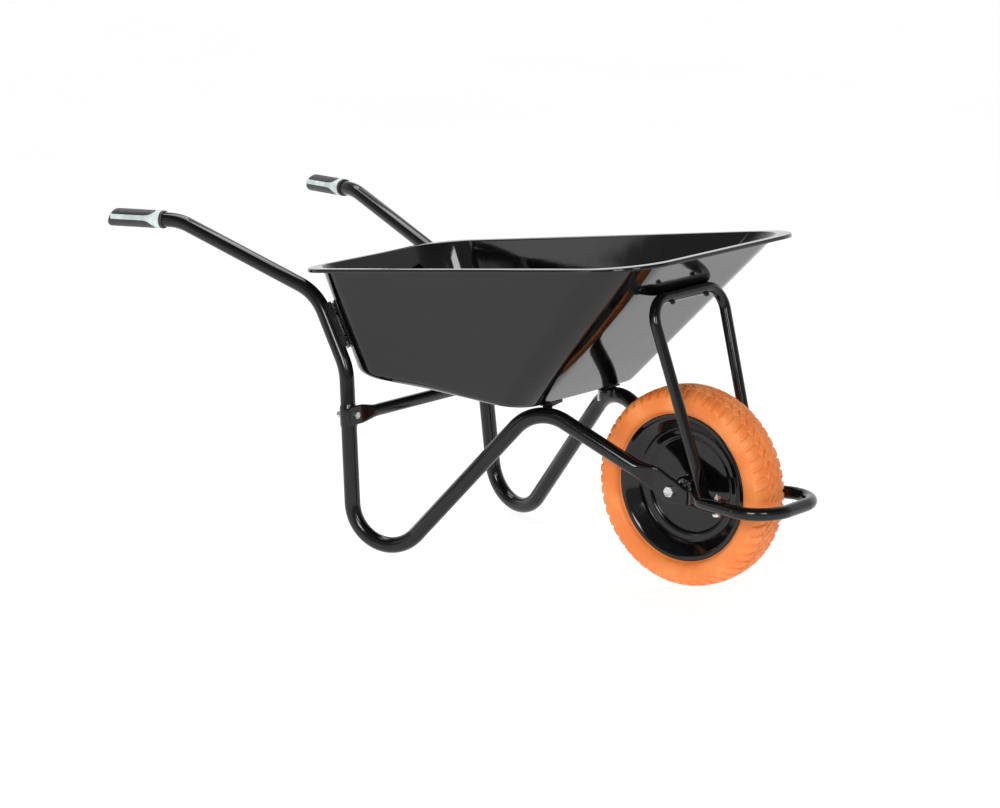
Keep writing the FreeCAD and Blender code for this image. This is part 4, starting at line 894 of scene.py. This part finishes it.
def fasteners():
    axis = joint_axis()
    bolts, nuts = Parts(), Parts()
    for side in (-1, 1):
        joint = on_leg(side, JOINT_HIGH)
        hex_bolt(bolts, joint + axis * (SOCKET_RADIUS + 3), -axis, 8.0, 5.3, 2 * SOCKET_RADIUS + 15, 16)
        hex_nut(nuts, joint - axis * SOCKET_RADIUS, -axis, 8.0, 8.5)
    bolts.make("Joint_bolts", "frame", "joint_bolts", "zinc", ZINC)
    nuts.make("Joint_nuts", "frame", "joint_nuts", "zinc", ZINC)
    bolts, nuts = Parts(), Parts()
    for side in (-1, 1):
        under = at(120.0, side * 87.0, HOOP_HIGH - HOOP_RADIUS)
        hex_bolt(bolts, under, UP, 8.0, 5.3, 38.0, 12)
        hex_nut(nuts, under + UP * 28.1, UP, 8.0, 6.5)
    bolts.make("Stay_foot_bolts", "frame", "stay_foot_bolts", "zinc", ZINC)
    nuts.make("Stay_foot_nuts", "frame", "stay_foot_nuts", "zinc", ZINC)
    bolt, nut = Parts(), Parts()
    hex_bolt(bolt, at(0, -68.7, AXLE_HIGH), LEFT, 12.0, 8.0, 152.4, 24, 19.2)
    hex_nut(nut, at(0, 68.7, AXLE_HIGH), LEFT, 12.0, 10.0, 19.2)
    bolt.make("Axle_bolt", "frame", "axle_bolt", "zinc", ZINC)
    nut.make("Axle_nut", "frame", "axle_nut", "zinc", ZINC)


# ------------------------------------------------------------------ everything else keeps its CAD shape

def dress_cad_nodes():
    """The CAD nodes that still show take their material from the record's slot."""
    slots = {part["node"]: part["material_slot"] for part in frame["record"]["subparts"]}
    for node, thing in frame["nodes"].items():
        if thing.hide_render:
            continue
        thing.data.materials.clear()
        thing.data.materials.append(MATERIALS[slots[node]])
        thing.data.shade_smooth()
        thing.data.set_sharp_from_angle(angle=math.radians(30))


# ------------------------------------------------------------------ scene

def soft_box(name, place, target, wide, high, glow):
    """A rectangular light of the given brightness, turned to face the target."""
    lamp = bpy.data.lights.new(name, "AREA")
    lamp.shape = "RECTANGLE"
    lamp.size = wide
    lamp.size_y = high
    lamp.energy = glow * math.pi * wide * high
    thing = bpy.data.objects.new(name, lamp)
    bpy.context.scene.collection.objects.link(thing)
    thing.location = place
    thing.rotation_euler = (Vector(target) - Vector(place)).to_track_quat("-Z", "Y").to_euler()


def floor():
    """A wide pale floor for the object to stand on."""
    parts = Parts()
    rings = []
    turns = [2 * math.pi * n / 64 for n in range(64)]
    for radius in (20, 600, 2500, 8000, 30000):
        rings.append([Vector((radius * math.cos(turn), radius * math.sin(turn), 0)) for turn in turns])
    parts.rings(rings, caps=False)
    parts.faces.append(tuple(range(len(turns))))
    material, tree, shader = new_material("floor_paper")
    mottle = ramp(tree, noise(tree, 0.8, 3.0), 0.3, 0.7, 0.0, 1.0)
    tree.links.new(blend_colour(tree, mottle, (0.24, 0.24, 0.24), (0.26, 0.26, 0.26)),
                   shader.inputs["Base Color"])
    shader.inputs["Roughness"].default_value = 0.8
    shader.inputs["Emission Color"].default_value = (1, 1, 1, 1)
    shader.inputs["Emission Strength"].default_value = 0.86
    mesh = bpy.data.meshes.new("Floor")
    mesh.from_pydata([tuple(point * MM) for point in parts.points], [], parts.faces)
    mesh.materials.append(material)
    thing = bpy.data.objects.new("Floor", mesh)
    bpy.context.scene.collection.objects.link(thing)


def studio():
    """A white backdrop behind the barrow, a dimmer room in front of it and overhead, and soft boxes."""
    world = bpy.data.worlds.new("studio")
    bpy.context.scene.world = world
    world.use_nodes = True
    tree = world.node_tree
    place = tree.nodes.new("ShaderNodeTexCoord").outputs["Generated"]
    behind = tree.nodes.new("ShaderNodeVectorMath")
    behind.operation = "DOT_PRODUCT"
    behind.inputs[1].default_value = (-0.62, 0.78, 0.0)
    tree.links.new(place, behind.inputs[0])
    backdrop = ramp(tree, behind.outputs["Value"], 0.0, 0.6, 0.34, 1.15)
    height = tree.nodes.new("ShaderNodeSeparateXYZ")
    tree.links.new(place, height.inputs[0])
    ceiling = ramp(tree, height.outputs["Z"], 0.35, 0.8, 1.0, 0.3)
    glow = tree.nodes.new("ShaderNodeMath")
    glow.operation = "MULTIPLY"
    tree.links.new(backdrop, glow.inputs[0])
    tree.links.new(ceiling, glow.inputs[1])
    tree.links.new(glow.outputs[0], tree.nodes["Background"].inputs["Strength"])
    tree.nodes["Background"].inputs["Color"].default_value = (1, 1, 1, 1)
    soft_box("key", (1.3, -2.5, 1.55), (0, 0, 0.3), 0.9, 0.9, 13)
    soft_box("second", (2.6, -1.5, 1.7), (0, 0, 0.3), 0.7, 0.9, 8)
    soft_box("top", (-1.2, 0.3, 2.9), (0, 0, 0.3), 2.0, 1.6, 5)
    soft_box("strip", (-1.55, -2.35, 0.95), (0, 0, 0.5), 0.35, 1.3, 1.6)
    bpy.context.scene.view_settings.view_transform = "Standard"


def camera():
    lens = bpy.data.cameras.new("camera")
    lens.sensor_width = 36.0
    lens.lens = 116.93
    lens.clip_end = 60.0
    thing = bpy.data.objects.new("camera", lens)
    bpy.context.scene.collection.objects.link(thing)
    thing.location = at(3485.5, -4944.8, 1678.4) * MM
    thing.rotation_euler = (math.radians(90 - 12.381), 0, math.radians(38.646))
    bpy.context.scene.camera = thing


for side_name in SIDES:
    handle_tube(side_name)
    leg_frame(side_name)
    rim_half(side_name)
    grip(side_name)
    grip_inlay(side_name)
nose_hoop()
front_stay()
cross_brace()
tray()
tyre()
fasteners()
dress_cad_nodes()
floor()
studio()
camera()
